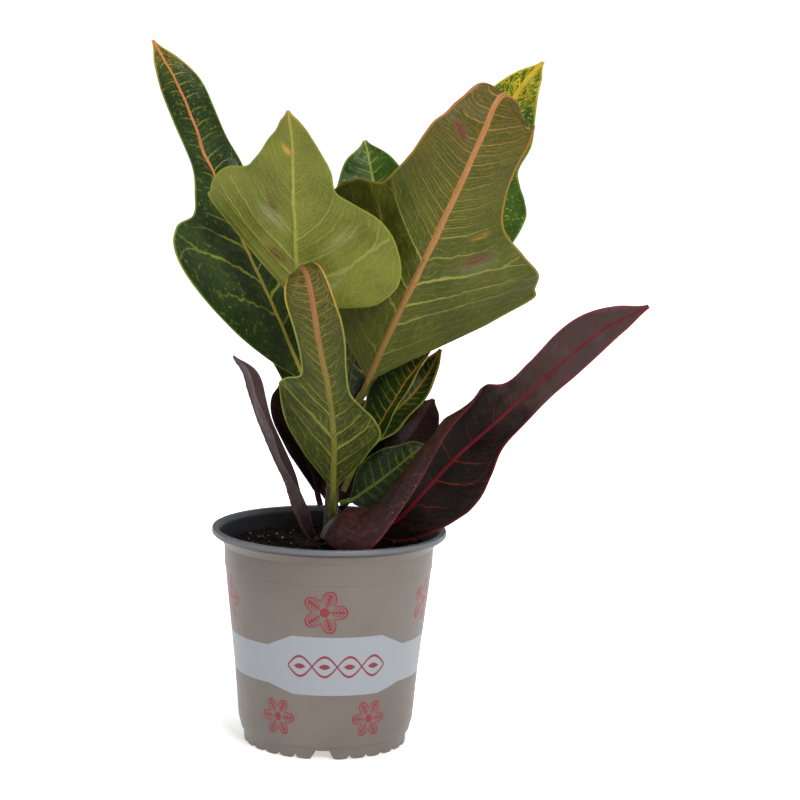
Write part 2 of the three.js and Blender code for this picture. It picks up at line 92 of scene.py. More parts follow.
class Finish:
    # one material, made node by node
    def __init__(self, name):
        self.material = bpy.data.materials.new(name)
        self.material.use_nodes = True
        self.tree = self.material.node_tree
        self.tree.nodes.clear()

    def node(self, kind, settings=None, inputs=None, out=0):
        made = self.tree.nodes.new(kind)
        for key, setting in (settings or {}).items():
            setattr(made, key, setting)
        for key, given in (inputs or {}).items():
            if isinstance(given, Value):
                self.tree.links.new(given.socket, made.inputs[key])
            else:
                made.inputs[key].default_value = linear(given) if isinstance(given, str) else given
        return Value(self, made.outputs[out]) if made.outputs else None

    def math(self, operation, *terms):
        return self.node("ShaderNodeMath", {"operation": operation}, dict(enumerate(terms)))

    def mix(self, share, first, second):
        return self.node("ShaderNodeMix", {"data_type": "RGBA"},
                         {0: share, 6: first, 7: second}, out=2)

    def rise(self, value, low, high, start=0.0, end=1.0):
        # a smooth step from start to end as the value goes from low to high
        return self.node("ShaderNodeMapRange", {"interpolation_type": "SMOOTHSTEP"},
                         {0: value, 1: low, 2: high, 3: start, 4: end})

    def fall(self, value, low, high):
        return self.rise(value, low, high, 1.0, 0.0)

    def near(self, distance, width):
        # 1 on a line, fading to 0 at this distance from it
        return self.fall(distance, 0.45 * width, width)

    def attribute(self, name, out="Vector"):
        return self.node("ShaderNodeAttribute", {"attribute_name": name}, out=out)

    def objectPlace(self):
        # the object's own coordinates in millimetres
        place = self.node("ShaderNodeTexCoord", out="Object")
        return self.node("ShaderNodeVectorMath", {"operation": "SCALE"}, {0: place, "Scale": 1000})

    def parts(self, vector):
        return [self.node("ShaderNodeSeparateXYZ", {}, {0: vector}, out=axis) for axis in range(3)]

    def vector(self, x, y, z=0.0):
        return self.node("ShaderNodeCombineXYZ", {}, {0: x, 1: y, 2: z})

    def noise(self, place, scale, detail=2.0, roughness=0.5):
        return self.node("ShaderNodeTexNoise", {}, {
            "Vector": place, "Scale": scale, "Detail": detail, "Roughness": roughness})

    def close(self, colour, roughness, height, depth, **uniform):
        # the Principled shader, with bump from a height in 0 to 1 over a depth in mm
        bump = self.node("ShaderNodeBump", {},
                         {"Strength": 1.0, "Distance": depth * millimetre, "Height": height})
        inputs = {"Base Color": colour, "Roughness": roughness, "Normal": bump}
        for name, number in uniform.items():
            inputs[name.replace("_", " ")] = number
        shader = self.node("ShaderNodeBsdfPrincipled", {}, inputs)
        self.node("ShaderNodeOutputMaterial", {}, {0: shader})
        return self.material


def addObject(name, data):
    made = bpy.data.objects.new(name, data)
    bpy.context.scene.collection.objects.link(made)
    return made


def addPiece(name, mesh, materials, slotName, *nodes):
    # a finished piece on the body, at the origin, in place of its solid
    for material in materials:
        mesh.materials.append(material)
    piece = addObject(name, mesh)
    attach(piece, "root")
    if nodes:
        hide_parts(*nodes)


def toMesh(bm, name, sharpAngle=50):
    # the bmesh in millimetres as a smooth mesh in metres
    bmesh.ops.scale(bm, vec=Vector((millimetre,) * 3), verts=bm.verts)
    mesh = bpy.data.meshes.new(name)
    bm.to_mesh(mesh)
    bm.free()
    mesh.shade_smooth()
    mesh.set_sharp_from_angle(angle=math.radians(sharpAngle))
    return mesh


def turnedBmesh(profile, steps, mark, marked=()):
    # a profile of (radius, height) spun round the upright axis, its seam and poles merged;
    # mark names a number that each vertex keeps, 1 where the profile's point is marked
    bm = bmesh.new()
    layer = bm.verts.layers.float.new(mark)
    made = [bm.verts.new((radius, 0, height)) for radius, height in profile]
    for number in marked:
        made[number][layer] = 1.0
    edges = [bm.edges.new(pair) for pair in zip(made, made[1:])]
    bmesh.ops.spin(bm, geom=made + edges, cent=(0, 0, 0), axis=(0, 0, 1), angle=2 * math.pi,
                   steps=steps, use_merge=True, use_duplicate=False)
    bmesh.ops.remove_doubles(bm, verts=bm.verts, dist=0.001)
    bmesh.ops.recalc_face_normals(bm, faces=bm.faces)
    return bm, layer


# the stem, whose line the leaves' feet share
stem = dict(
    path=[(0, 0, 60), (0, 0, 100), (1, 1, 128), (2, 2, 152), (3, 2, 170)],
    radiusFoot=5, radiusTip=2.6, scar=0.3, scarPitch=4.2, sides=24, rows=150, bark=0.14,
    roundFrom=0.97, tipClose=0.28,
)


def stemAt(height):
    x, y = (float(np.interp(height, [point[2] for point in stem["path"]],
                            [point[axis] for point in stem["path"]])) for axis in (0, 1))
    low, high = stem["path"][0][2], stem["path"][-1][2]
    climb = (height - low) / (high - low)
    return x, y, stem["radiusFoot"] + (stem["radiusTip"] - stem["radiusFoot"]) * climb


# what all the leaves share, and what a leaf has where its own dictionary doesn't say
leafForm = dict(
    petioleRadius=1.5, waveTurns=2.5, traceSteps=120, spinePoints=401, skin=0.3, rimSkin=0.16,
    rimRise=2.5, ribUnder=1.0, ribOver=0.35, veinUnder=0.2, pucker=0.25, footShare=0.035,
    sway=1.4, swayScale=0.08, stalkRows=14, crowding=1.3, sharpAngle=60,
    veinFirst=0.02, veinLast=0.96, veinCrowding=0.35, veinBeyond=3,
)
usualLeaf = dict(
    slot="leaf_green", twist=[0], wave=1.5, arch=0.03, fold=[0], curl=[0], veinWidth=[1],
    stands=True, left={}, right={},
)


def along(values, share):
    # values at even steps from 0 to 1, smoothly interpolated at each share
    values = np.array(values, float)
    if len(values) == 1:
        return np.full(np.shape(share), values[0])
    place = np.clip(share, 0, 1) * (len(values) - 1)
    i = np.minimum(place.astype(int), len(values) - 2)
    u = place - i
    rise = (values[i + 1] - values[np.maximum(i - 1, 0)]) / 2
    run = (values[np.minimum(i + 2, len(values) - 1)] - values[i]) / 2
    a = 2 * u**3 - 3 * u**2 + 1
    return (a * values[i] + (u**3 - 2 * u**2 + u) * rise
            + (1 - a) * values[i + 1] + (u**3 - u**2) * run)


def unit(vectors):
    return vectors / np.linalg.norm(vectors, axis=-1, keepdims=True)


def traceSpine(leaf):
    # points, directions and side directions at even steps along the petiole and midrib
    height, angle = leaf["joint"]
    x, y, radius = stemAt(height)
    out = radius + stem["scar"] + leafForm["petioleRadius"] + clearance
    turn = math.radians(angle)
    foot = (x + out * math.cos(turn), y + out * math.sin(turn), height)
    knots = np.array([foot] + leaf["spine"], float)
    knots = np.vstack([2 * knots[0] - knots[1], knots, 2 * knots[-1] - knots[-2]])
    place = np.linspace(0, len(knots) - 3, leafForm["spinePoints"])
    i = np.minimum(place.astype(int), len(knots) - 4)
    u = (place - i)[:, None]
    before, start, end, after = (knots[i + k] for k in range(4))
    rise, run = (end - before) / 2, (after - start) / 2
    line = ((2 * start - 2 * end + rise + run) * u**3
            + (3 * end - 3 * start - 2 * rise - run) * u**2 + rise * u + start)
    gone = np.r_[0, np.cumsum(np.linalg.norm(np.diff(line, axis=0), axis=1))]
    steps = leafForm["traceSteps"]
    even = np.linspace(0, gone[-1], steps + 1)
    points = np.stack([np.interp(even, gone, line[:, axis]) for axis in range(3)], 1)
    forward = unit(np.gradient(points, axis=0))
    facing = math.radians(leaf["face"])
    middle = round(steps * (1 + leaf["petiole"]) / 2)
    side = np.zeros_like(points)
    side[middle] = unit(np.cross(forward[middle], [math.cos(facing), math.sin(facing), 0]))
    for way in (range(middle + 1, steps + 1), range(middle - 1, -1, -1)):
        last = side[middle]
        for step in way:
            last = unit(last - forward[step] * (last @ forward[step]))
            side[step] = last
    return points, forward, side, gone[-1]


def veinPlaces(form, length, seed):
    # where a half's side veins leave the midrib, as shares of the blade, and their numbers
    if "veins" in form:
        places = [share / 1000 for share in form["veins"]]
    else:
        chance = random.Random(seed)
        places = [leafForm["veinFirst"]]
        while places[-1] < leafForm["veinLast"]:
            gap = form["veinGap"] * (1 - leafForm["veinCrowding"] * places[-1]) / length
            places.append(places[-1] + gap * chance.uniform(0.8, 1.2))
    beyond = leafForm["veinBeyond"]
    first, last = places[1] - places[0], places[-1] - places[-2]
    return (np.array([places[0] - beyond * first] + places + [places[-1] + beyond * last]),
            np.r_[-beyond, np.arange(len(places)), len(places) - 1.0 + beyond])


def leafSheet(leaf, shares, reaches):
    # the blade's middle surface and what its finish reads, a row for each share along the
    # midrib and a column for each reach from the right margin, -1, to the left one, 1
    points, forward, side, length = traceSpine(leaf)
    petiole, steps = leaf["petiole"], leafForm["traceSteps"]

    def taken(vectors):
        return np.stack([np.interp(shares * steps, np.arange(steps + 1), vectors[:, axis])
                         for axis in range(3)], 1)

    point, ahead, across = taken(points), unit(taken(forward)), unit(taken(side))
    blade = (shares - petiole) / (1 - petiole)
    inBlade = np.clip(blade, 0, 1)
    twist = np.radians(along(leaf["twist"], inBlade))[:, None]
    across = across * np.cos(twist) + np.cross(ahead, across) * np.sin(twist)
    up = unit(np.cross(across, ahead))
    bladeLength = length * (1 - petiole)
    sheet = np.zeros((len(shares), len(reaches), 3))
    place, vein, step = sheet.copy(), sheet.copy(), sheet.copy()
    for half, sign in (("right", -1), ("left", 1)):
        columns = reaches < 0 if sign < 0 else reaches >= 0
        reach = np.abs(reaches[columns])[None, :]
        form = {**leaf, **leaf[half]}
        footing = np.clip(inBlade / leafForm["footShare"], 0, 1)
        width = along(form["width"], inBlade) * (1 - (1 - footing) ** 2)
        width = np.maximum(width, leafForm["petioleRadius"] * (1 - inBlade))[:, None]
        sweep = np.radians(along(form["sweep"], inBlade))[:, None]
        fold = np.radians(along(form["fold"], inBlade))[:, None]
        turn = np.radians(along(form["curl"], inBlade))[:, None] * reach
        turn = np.where(np.abs(turn) < 1e-4, 1e-4, turn)
        flat = (np.sin(fold + turn) - np.sin(fold)) / turn
        rise = (np.cos(fold) - np.cos(fold + turn)) / turn
        out = width * reach
        b = inBlade[:, None]
        ripple = leaf["wave"] * np.sin(math.pi * b) * reach**2 * np.sin(
            leafForm["waveTurns"] * 2 * math.pi * b + sign)
        moved = (point[:, None] + (sign * out * flat * np.cos(sweep))[..., None] * across[:, None]
                 + (out * np.sin(sweep))[..., None] * ahead[:, None]
                 + (out * rise * np.cos(sweep) + ripple)[..., None] * up[:, None])
        thin = (sign * leafForm["petioleRadius"] * reach)[..., None] * across[:, None]
        sheet[:, columns] = np.where((blade < 0)[:, None, None], point[:, None] + thin, moved)
        place[:, columns, 0] = sign * out * np.cos(sweep)
        place[:, columns, 1] = (blade * bladeLength)[:, None] + out * np.sin(sweep)
        place[:, columns, 2] = blade[:, None]
    started = blade[:, None] - leaf["arch"] * reaches[None, :] ** 2
    for number, half in enumerate(("left", "right")):
        form = {**leaf, **leaf[half]}
        places, index = veinPlaces(form, bladeLength, leaf["seed"] + number)
        leans = np.cos(np.radians(along(form["sweep"], inBlade)))
        vein[..., number] = np.interp(started, places, index)
        gaps = np.interp(started, (places[1:] + places[:-1]) / 2,
                         np.diff(places) / np.diff(index) * bladeLength)
        step[..., number] = gaps * leans[:, None]
        widths = np.array(form["veinWidth"], float)
        nearest = np.clip(np.round(vein[..., number]), 0, len(widths) - 1).astype(int)
        sideOf = reaches > 0 if half == "left" else reaches <= 0
        step[:, sideOf, 2] = widths[nearest[:, sideOf]]
    flatPlace = place[..., :2]
    margin = np.vstack([flatPlace[:, 0], flatPlace[:, -1], flatPlace[-1]])
    margin = margin[margin[:, 1] > 0]
    for row in range(len(shares)):
        apart = np.linalg.norm(flatPlace[row][:, None] - margin[None], axis=2)
        vein[row, :, 2] = apart.min(axis=1)
    return sheet, place, vein, step


def growLeaf(leaf):
    # a leaf from a grid of quads, given its two faces by one extrusion and moved onto its form;
    # what its left and right halves don't say for themselves is in the leaf's own dictionary
    print("leaf", leaf["node"])
    leaf = {**usualLeaf, **leaf}
    first, second = leaf["node"].split("_")[-2:]
    materials = [leafFinish(first + second.capitalize() + face, look)
                 for face, look in zip(("Top", "Under"), leaf["looks"])]
    cells, petiole = leaf["cells"], leaf["petiole"]
    shares = np.r_[np.linspace(0, petiole, leafForm["stalkRows"], endpoint=False),
                   np.linspace(petiole, 1, leaf["rows"])]
    even = np.linspace(-1, 1, 2 * cells + 1)
    reaches = np.sign(even) * np.abs(even) ** leafForm["crowding"]
    sheet, place, vein, step = leafSheet(leaf, shares, reaches)
    normal = unit(np.cross(np.gradient(sheet, axis=1), np.gradient(sheet, axis=0)))
    blade = np.clip(place[..., 2], 0, 1)
    fromRib = np.abs(place[..., 0])
    left = place[..., 0] > 0
    phase = np.where(left, vein[..., 0], vein[..., 1])
    gapMm = np.where(left, step[..., 0], step[..., 1])
    offVein = np.abs((phase + 0.5) % 1 - 0.5) * gapMm
    rim = np.clip(vein[..., 2] / leafForm["rimRise"], 0, 1)
    inner = rim * rim * (3 - 2 * rim)
    taper = 1 - 0.75 * blade

    def hill(distance, width):
        return np.exp(-((distance / width) ** 2))

    skin = leafForm["rimSkin"] + (leafForm["skin"] - leafForm["rimSkin"]) * inner
    ribUnder = leafForm["ribUnder"] * taper * hill(fromRib, 0.5 + 0.8 * taper)
    ribOver = leafForm["ribOver"] * taper * hill(fromRib, 0.7)
    ridge = hill(offVein, 0.55 * step[..., 2]) * inner
    swell = leafForm["pucker"] * inner * (1 - hill(offVein, 2.2)) * (1 - hill(fromRib, 4.0))
    stalk = leafForm["petioleRadius"] * np.sqrt(np.clip(1 - reaches[None, :] ** 2, 0.02, 1))
    bare = place[..., 2] < 0
    above = np.where(bare, stalk, skin + ribOver + swell)
    below = np.where(bare, stalk, skin + ribUnder + leafForm["veinUnder"] * ridge - swell)
    loose = np.clip((blade - 0.08) / 0.2, 0, 1) * inner * leafForm["sway"]
    for row, column in np.ndindex(loose.shape):
        if loose[row, column]:
            flat = Vector((*place[row, column, :2] * leafForm["swayScale"], leaf["seed"]))
            sheet[row, column] += normal[row, column] * loose[row, column] * noise.noise(flat)
    faces = (sheet - normal * below[..., None], sheet + normal * above[..., None])

    bm = bmesh.new()
    layers = [bm.verts.layers.float_vector.new("leaf" + name) for name in ("Place", "Vein", "Step")]
    bmesh.ops.create_grid(bm, x_segments=2 * cells, y_segments=len(shares) - 1, size=1)
    raised = bmesh.ops.extrude_face_region(bm, geom=bm.faces[:], use_keep_orig=True)["geom"]
    upperVerts = {v for v in raised if isinstance(v, bmesh.types.BMVert)}
    for face in bm.faces:
        face.material_index = 0 if all(v in upperVerts for v in face.verts) else 1
    for v in bm.verts:
        column = round((v.co.x + 1) * cells)
        row = round((v.co.y + 1) / 2 * (len(shares) - 1))
        for layer, values in zip(layers, (place, vein, step)):
            v[layer] = values[row, column]
        v.co = faces[v in upperVerts][row, column]
    bmesh.ops.recalc_face_normals(bm, faces=bm.faces)
    mesh = toMesh(bm, leaf["node"], leafForm["sharpAngle"])
    addPiece("grown_" + leaf["node"], mesh, materials, leaf["slot"],
             *[leaf["node"]] * leaf["stands"])


# the grain of a leaf's finish: noise scales a millimetre, and the lean of its side veins
leafGrain = dict(
    slow=0.035, fine=0.9, grain=3.2, wander=0.11, tremble=0.35, flecks=1.6, lean=0.65,
    streaks=0.55, streakLength=0.14, pale="c4c4b0",
)


def leafFinish(name, look):
    f, look, form = Finish(name), Named(**look), Named(**leafGrain)
    ribSide, alongRib, share = f.parts(f.attribute("leafPlace"))
    phaseLeft, phaseRight, edge = f.parts(f.attribute("leafVein"))
    gapLeft, gapRight, veinWidth = f.parts(f.attribute("leafStep"))
    onLeft = ribSide > 0
    fromRib = abs(ribSide)
    reach = fromRib / (fromRib + edge + 0.01)
    flatPlace = f.vector(ribSide, alongRib, look.seed)
    slow = f.noise(flatPlace, form.slow, 3)
    fine = f.noise(flatPlace, form.fine, 3, 0.6)
    grain = f.noise(flatPlace, form.grain, 2, 0.6)
    wander = f.noise(flatPlace, form.wander) - 0.5
    phase = phaseRight + (phaseLeft - phaseRight) * onLeft + wander * look.wander + (
        f.noise(flatPlace, form.tremble) - 0.5) * 0.16
    gap = gapRight + (gapLeft - gapRight) * onLeft
    # each side vein has its own strength and length, and forks toward the margin
    lot = f.node("ShaderNodeTexWhiteNoise", {"noise_dimensions": "2D"},
                 {"Vector": f.vector(phase.math("ROUND") + onLeft * 40, look.seed)})
    bold = (veinWidth - 1) * 0.6
    forked = f.rise(reach, 0.5 + 0.3 * lot, 1.2) * gap * 0.5
    offVein = abs(abs((phase + 0.5).fract() - 0.5) * gap - forked)
    width = veinWidth * (1.0 - 0.6 * reach) * look.veinSize * (0.6 + 0.6 * lot)
    strength = (0.55 + 0.45 * (lot * 7.3).fract() + bold) * f.fall(
        reach - lot * 0.3 - bold * 0.5, look.veinEnd - 0.2, look.veinEnd + 0.15)
    strength = strength.math("MINIMUM", 1.0)
    vein = f.fall(offVein / width, 0.3, 1.0) * f.rise(edge, 0.6, 3.0) * strength
    halo = f.fall(offVein / (width + 2.0), 0.0, 1.0) * strength
    # two finer veins between each pair, and the net
    offMinor = abs((phase * 3 + 0.5 + wander * 1.6).fract() - 0.5) * gap / 3
    minor = f.near(offMinor, 0.45) * f.rise(fine, 0.35, 0.6) * f.rise(edge, 0.5, 3.0)
    cells = f.node("ShaderNodeTexVoronoi", {"feature": "DISTANCE_TO_EDGE"}, {
        "Vector": f.vector(fromRib * 0.17 + fine * 0.35, phase * 1.7 + wander, onLeft * 9.0),
        "Scale": 1.0}, out="Distance")
    net = f.fall(cells, 0.02, 0.09) * f.rise(slow, 0.3, 0.6, 0.4, 1.0)
    tip = f.rise(share + wander * 0.25, look.tipFrom, look.tipTo)
    veinColour = f.mix(tip, f.mix(reach, look.veinNear, look.veinFar), look.tipVein)
    spot = f.rise(f.noise(flatPlace, look.speckScale, 2, 0.7) + tip * look.speckTip, 0.60, 0.66)
    layers = [
        (f.rise(fine, 0.3, 0.75) * look.mottle, look.bladeLight),
        # toward the tip the blade takes its tip colour, which on the maroon and plum tops is
        # painted sheen
        (tip * look.tipTint, look.tipBlade),
        (halo * look.halo, look.haloColour),
        (net * (look.net + tip * look.tipNet), veinColour),
        (minor * look.minor, veinColour),
        (vein * look.vein, veinColour),
        (spot * look.speck, look.speckColour),
    ]
    swept = alongRib - form.lean * fromRib
    streaks = f.noise(f.vector(fromRib * form.streakLength, swept, onLeft), form.streaks, 3, 0.6)
    streaks = f.rise(streaks, 0.36, 0.6, 0.15, 1.0)
    for side, up, radius, layerColour, power in getattr(look, "blotches", []):
        # long patches that follow the side veins, broken at their edges: stains, and on some leaves
        # pale patches of painted sheen
        away = f.node("ShaderNodeVectorMath", {"operation": "DISTANCE"}, {
            0: f.vector(ribSide * 0.6, swept),
            1: (side * 0.6, up - form.lean * abs(side), 0)}, out="Value")
        away = away / (0.6 * radius) + (fine - 0.5) * 1.8 + (grain - 0.5) * 1.2
        layers.append((f.fall(away, 0.2, 1.1) * streaks * power, layerColour))
    rimLine = f.fall(edge + (fine - 0.5) * 0.6, 0.4 * look.rimWidth, look.rimWidth)
    rib = f.fall(fromRib / (look.ribFoot + (look.ribTip - look.ribFoot) * share), 0.62, 1.0)
    ribColour = f.mix(f.rise(share, look.ribTurn - 0.25, look.ribTurn + 0.25),
                      look.ribLow, look.ribHigh)
    flecks = f.rise(f.noise(flatPlace, form.flecks, 1, 0.4), 0.72, 0.76)
    layers += [
        (rimLine * look.rim, f.mix(tip, look.rimColour, look.tipRim)),
        (rib, f.mix(f.rise(grain, 0.4, 0.7) * 0.25, ribColour, look.blade)),
        (f.fall(share, -0.02, 0.0), f.mix(f.rise(fine, 0.3, 0.7) * 0.5, look.stalk, look.ribLow)),
        (flecks * look.dust, form.pale),
    ]
    colour = f.mix(f.rise(slow, 0.35, 0.65), look.blade, look.bladeLight)
    for cover, layerColour in layers:
        colour = f.mix(cover, colour, layerColour)
    relief = (vein * look.relief + net * look.relief * 0.35 + rib * look.relief * 0.5
              + fine * 0.22 + grain * 0.16 + 0.4)
    return f.close(colour, look.roughness + (fine - 0.5) * 0.16 + flecks * 0.2, relief, look.depth,
                   Specular_IOR_Level=look.gloss, Coat_Weight=look.coat,
                   Coat_Roughness=look.coatRoughness)


greenTop = dict(
    blade="16280c", bladeLight="263c12", mottle=0.25, wander=0.2, seed=1.0, vein=0.9,
    veinSize=0.62, veinEnd=0.55, tipNet=0.2, veinNear="9ea230", veinFar="4e6a22", halo=0.12,
    haloColour="465e1c", net=0.05, minor=0.15, tipFrom=0.8, tipTo=1.0, tipTint=0.2,
    tipBlade="605c18", tipVein="be8c32", speck=0.35, speckScale=0.4, speckTip=0.1,
    speckColour="968c28", rim=0.9, rimWidth=1.2, rimColour="78882c", tipRim="c89638", ribFoot=1.7,
    ribTip=1.0, ribTurn=0.5, ribLow="aa9c3c", ribHigh="cc7e4c", stalk="545c24", dust=0.15,
    relief=-0.5, depth=0.3, roughness=0.34, gloss=0.4, coat=0.15, coatRoughness=0.22,
)
greenUnder = dict(
    greenTop, blade="364418", bladeLight="4c5820", vein=0.7, halo=0.2, speck=0.1,
    veinNear="808138", veinFar="636b2c", relief=0.6, depth=0.35, roughness=0.5, gloss=0.2,
    coat=0.0, ribHigh="998047",
)
freshTop = dict(
    greenTop, blade="203e10", bladeLight="3e601c", veinNear="a0ac3c", veinFar="6e8c2c",
    ribLow="96a042", ribHigh="a0a846", tipRim="788c32", tipVein="96ac3c", tipNet=0.05,
    tipTint=0.0, ribTip=0.7, speck=0.4, speckColour="809630", veinEnd=0.35, coat=0.03, gloss=0.25,
)
goldTop = dict(
    freshTop, tipFrom=0.7, tipTo=0.85, tipTint=0.3, tipBlade="5c7616", tipNet=1.0,
    tipVein="c8b428", tipRim="c8b02c", ribHigh="ceae2c", ribTip=1.9, speck=0.9, speckScale=0.6,
    speckTip=0.05, speckColour="beb424",
)
innerTop = dict(
    greenTop, blade="0a1604", bladeLight="162608", tipFrom=0.3, tipTo=1.2, tipNet=0.1,
    tipTint=0.0, veinNear="6c7520", veinFar="485618", tipVein="828228", ribLow="807022",
    ribHigh="967024", speck=0.1, gloss=0.15, coat=0.02, rimColour="787828", tipRim="b48c32",
    rimWidth=1.5, ribFoot=1.1, ribTip=0.9,
)
# a darker copy of innerTop for the low centre leaf: painted shade, for the shade it lies in under
# the leaves in front
shadeTop = dict(
    innerTop, veinNear="4a5c20", veinFar="344618", ribLow="5c682c", ribHigh="62642a",
    rimColour="40541e", tipRim="545a22", rimWidth=0.9,
)
youngTop = dict(
    greenTop, blade="1c2218", bladeLight="2e3624", veinNear="424c2e", veinFar="363e26",
    ribFoot=0.8, ribTip=0.5, ribLow="464e2e", ribHigh="464a30", rimColour="363c28",
    tipRim="3e3c2c", rimWidth=0.7, speck=0.0, coat=0.05, tipTint=0.0,
)
oliveUnder = dict(
    greenUnder, blade="464d10", bladeLight="5b6018", mottle=0.35, vein=0.9, veinNear="959040",
    veinFar="787a30", halo=0.16, haloColour="63681b", net=0.25, minor=0.4, speck=0.0, tipFrom=0.7,
    tipTo=1.1, tipTint=0.3, tipBlade="78631d", tipVein="a88843", rimColour="858835", ribFoot=1.6,
    ribLow="8b8b3e", ribHigh="938d3e", stalk="565d26", relief=0.75, depth=0.45, roughness=0.42,
    dust=0.3,
)
oliveTop = dict(
    greenTop, blade="2c380f", bladeLight="4e5318", speck=0.7,
)
paleUnder = dict(
    oliveUnder, blade="565d18", bladeLight="767a2a", vein=0.75, wander=0.3, veinNear="9d9c4b",
    veinFar="888b42", net=0.2, minor=0.3, tipNet=0.1, dust=0.15, mottle=0.6, ribLow="929743",
    ribHigh="a19a48", ribTip=0.6, tipFrom=0.75, tipTo=1.15, tipTint=0.4, tipBlade="907f28",
    # the first three patches, pale olive-grey, are painted sheen; the red and gold ones are stains
    blotches=[(13, 47, 10, "929470", 0.6), (-22, 36, 11, "8e9460", 0.6),
              (-17, 12, 10, "8c9262", 0.6), (11, 28, 6, "602222", 1.0),
              (12.5, 52, 4.5, "64342c", 0.8), (2.5, 82, 4.5, "c49c46", 0.9)],
)
bronzeUnder = dict(
    oliveUnder, blade="3c440d", bladeLight="4c5112", vein=0.95, minor=0.3, tipFrom=0.3, tipTo=0.9,
    tipTint=0.5, tipBlade="504512", tipVein="aa7836", ribLow="83632e", ribHigh="b07846",
    ribTurn=0.25, ribFoot=2.0, ribTip=1.7, rimColour="85782d", tipRim="ab632d", rimWidth=1.5,
    tipNet=0.05, net=0.12, dust=0.1,
    # the wide grey patch round the red blotch on the right half is painted sheen; the rest are
    # stains and a gold spot
    blotches=[(-26, 76, 14, "6a6c4a", 0.7), (11, 137, 8, "706242", 0.6),
              (11, 137, 6, "6c2620", 1.0), (-25, 79, 8, "642222", 1.0),
              (-21.5, 91, 5, "c48238", 0.9), (22, 118, 6, "583620", 0.7)],
)
lowUnder = dict(
    oliveUnder, blade="2b3309", bladeLight="3a430d", vein=0.95, veinSize=0.7, tipFrom=0.5,
    tipTo=0.9, tipTint=0.4, tipBlade="594c13", tipVein="907839", ribLow="78762c",
    ribHigh="9f693f", ribFoot=1.7, ribTip=1.5, veinNear="888236", veinFar="696e27", minor=0.3,
    blotches=[(-2.5, 84, 2, "702a21", 0.7), (3, 100, 2.2, "84442a", 0.6),
              (-2.5, 62, 1.8, "693221", 0.5)],
)
# the blade turns greyish mauve toward the tip: painted sheen on the upper part, which faces the
# sky; plumTop keeps it
maroonTop = dict(
    greenTop, blade="0a0b06", bladeLight="170f0b", mottle=0.3, vein=0.75, veinNear="601c18",
    veinFar="862c20", halo=0.2, veinEnd=0.35, haloColour="28120d", minor=0.1, veinSize=0.5,
    tipFrom=0.45, tipTo=0.75, tipTint=0.85, tipBlade="4a3a37", tipVein="602c2a", speck=0.3,
    speckScale=0.45, speckTip=0.0, speckColour="3c2c16", rimColour="68161e", tipRim="742832",
    rim=0.85, ribLow="60101a", ribHigh="641c24", ribFoot=1.15, ribTip=0.7, stalk="32181a",
    roughness=0.4, dust=0.0, gloss=0.08, coat=0.0,
)
maroonUnder = dict(
    maroonTop, gloss=0.25, blade="1e0c0a", bladeLight="311512", vein=0.4, veinNear="5c2a22",
    veinFar="50261e", halo=0.15, haloColour="391714", net=0.45, minor=0.45, speck=0.0,
    tipBlade="351818", rim=0.5, relief=0.6, depth=0.35, roughness=0.5, coat=0.05, ribLow="501c1e",
    dust=0.35,
)
plumTop = dict(
    maroonTop, blade="1c1214", bladeLight="322628", vein=0.3, ribLow="461e26", ribHigh="4c2c32",
    rimColour="3c2228", tipRim="543e44",
)
plumUnder = dict(
    maroonUnder, blade="26181b", bladeLight="3e2e30", vein=0.2, net=0.15, minor=0.2,
    tipBlade="4e3e42", ribLow="40242a", ribHigh="503a3e", rim=0.6, rimColour="3c242a",
    tipRim="5a444a",
)
purpleTop = dict(
    maroonTop, blade="0b0808", bladeLight="140f0d", vein=0.25, halo=0.1, veinNear="3c1c20",
    veinFar="281618", speck=0.1, rimColour="381c22", tipBlade="1e1616", tipRim="3c2226",
    ribLow="381c20", ribHigh="3c1e22", stalk="1e1414",
)
purpleUnder = dict(
    purpleTop, blade="1e1215", bladeLight="2c1c1e", relief=0.5, roughness=0.5,
)

# the leaves, from the largest in front to those hidden behind. The lists run at even steps from
# the blade's foot to its tip, and veins are in thousandths of the blade from its foot.
growLeaf(dict(
    node="leaf_tall_left", looks=(greenTop, greenUnder), seed=11, rows=190, cells=40, joint=(150,
        125), petiole=0.16, face=320, arch=-0.06, spine=[(-9, 12, 172), (-20, 16, 195), (-32, 20,
        221), (-48, 28, 252), (-65, 36, 287), (-83, 44, 329), (-98, 48, 355)], fold=[12, 8],
    left=dict(width=[2, 34, 43, 38, 27, 25, 26, 23, 20, 17, 10, 1], sweep=[25, 38, 40, 35, 30],
        veins=[60, 160, 240, 320, 400, 460, 510, 560, 610, 650, 700, 740, 780, 820, 860, 890, 920,
        960], veinWidth=[0.8, 1.0, 1.5, 1.0, 0.8]), right=dict(width=[5, 45, 74, 63, 40, 30, 23,
        20, 18, 17, 11, 1], sweep=[18, 38, 48, 35, 30], veins=[50, 190, 285, 380, 440, 490, 540,
        590, 640, 680, 720, 760, 800, 840, 870, 900, 930, 960], veinWidth=[0.8, 1.1, 2.3, 1.5, 0.9,
        0.8])))
growLeaf(dict(
    node="leaf_front_left", looks=(oliveTop, paleUnder), slot="leaf_olive", seed=21, rows=150,
    cells=44, joint=(156, 255), petiole=0.42, face=75, arch=0.12, spine=[(-4, -12, 184), (-13, -19,
        214), (-18, -26, 245), (-20, -36, 281), (-21, -44, 310), (-23, -48, 324)],
    left=dict(width=[20, 62, 61, 57, 49, 36, 29, 23, 18, 12, 7, 1], sweep=[46, 40, 42, 42, 38],
        fold=[14, 8], veins=[40, 140, 240, 320, 370, 430, 470, 530, 590, 640, 690, 740, 790, 850,
        910, 960], veinWidth=[0.9, 2.2, 1.6, 0.8, 1.1, 0.7]), right=dict(width=[32, 50, 52, 47, 36,
        26, 24, 20.5, 16.5, 11.5, 6, 1], sweep=[-10, 15, 33, 40, 42, 40], fold=[8], veins=[30, 130,
        220, 290, 350, 410, 470, 530, 580, 635, 680, 730, 780, 830, 880, 940], veinWidth=[0.8, 2.6,
        1.2, 0.9, 1.2, 0.7])))
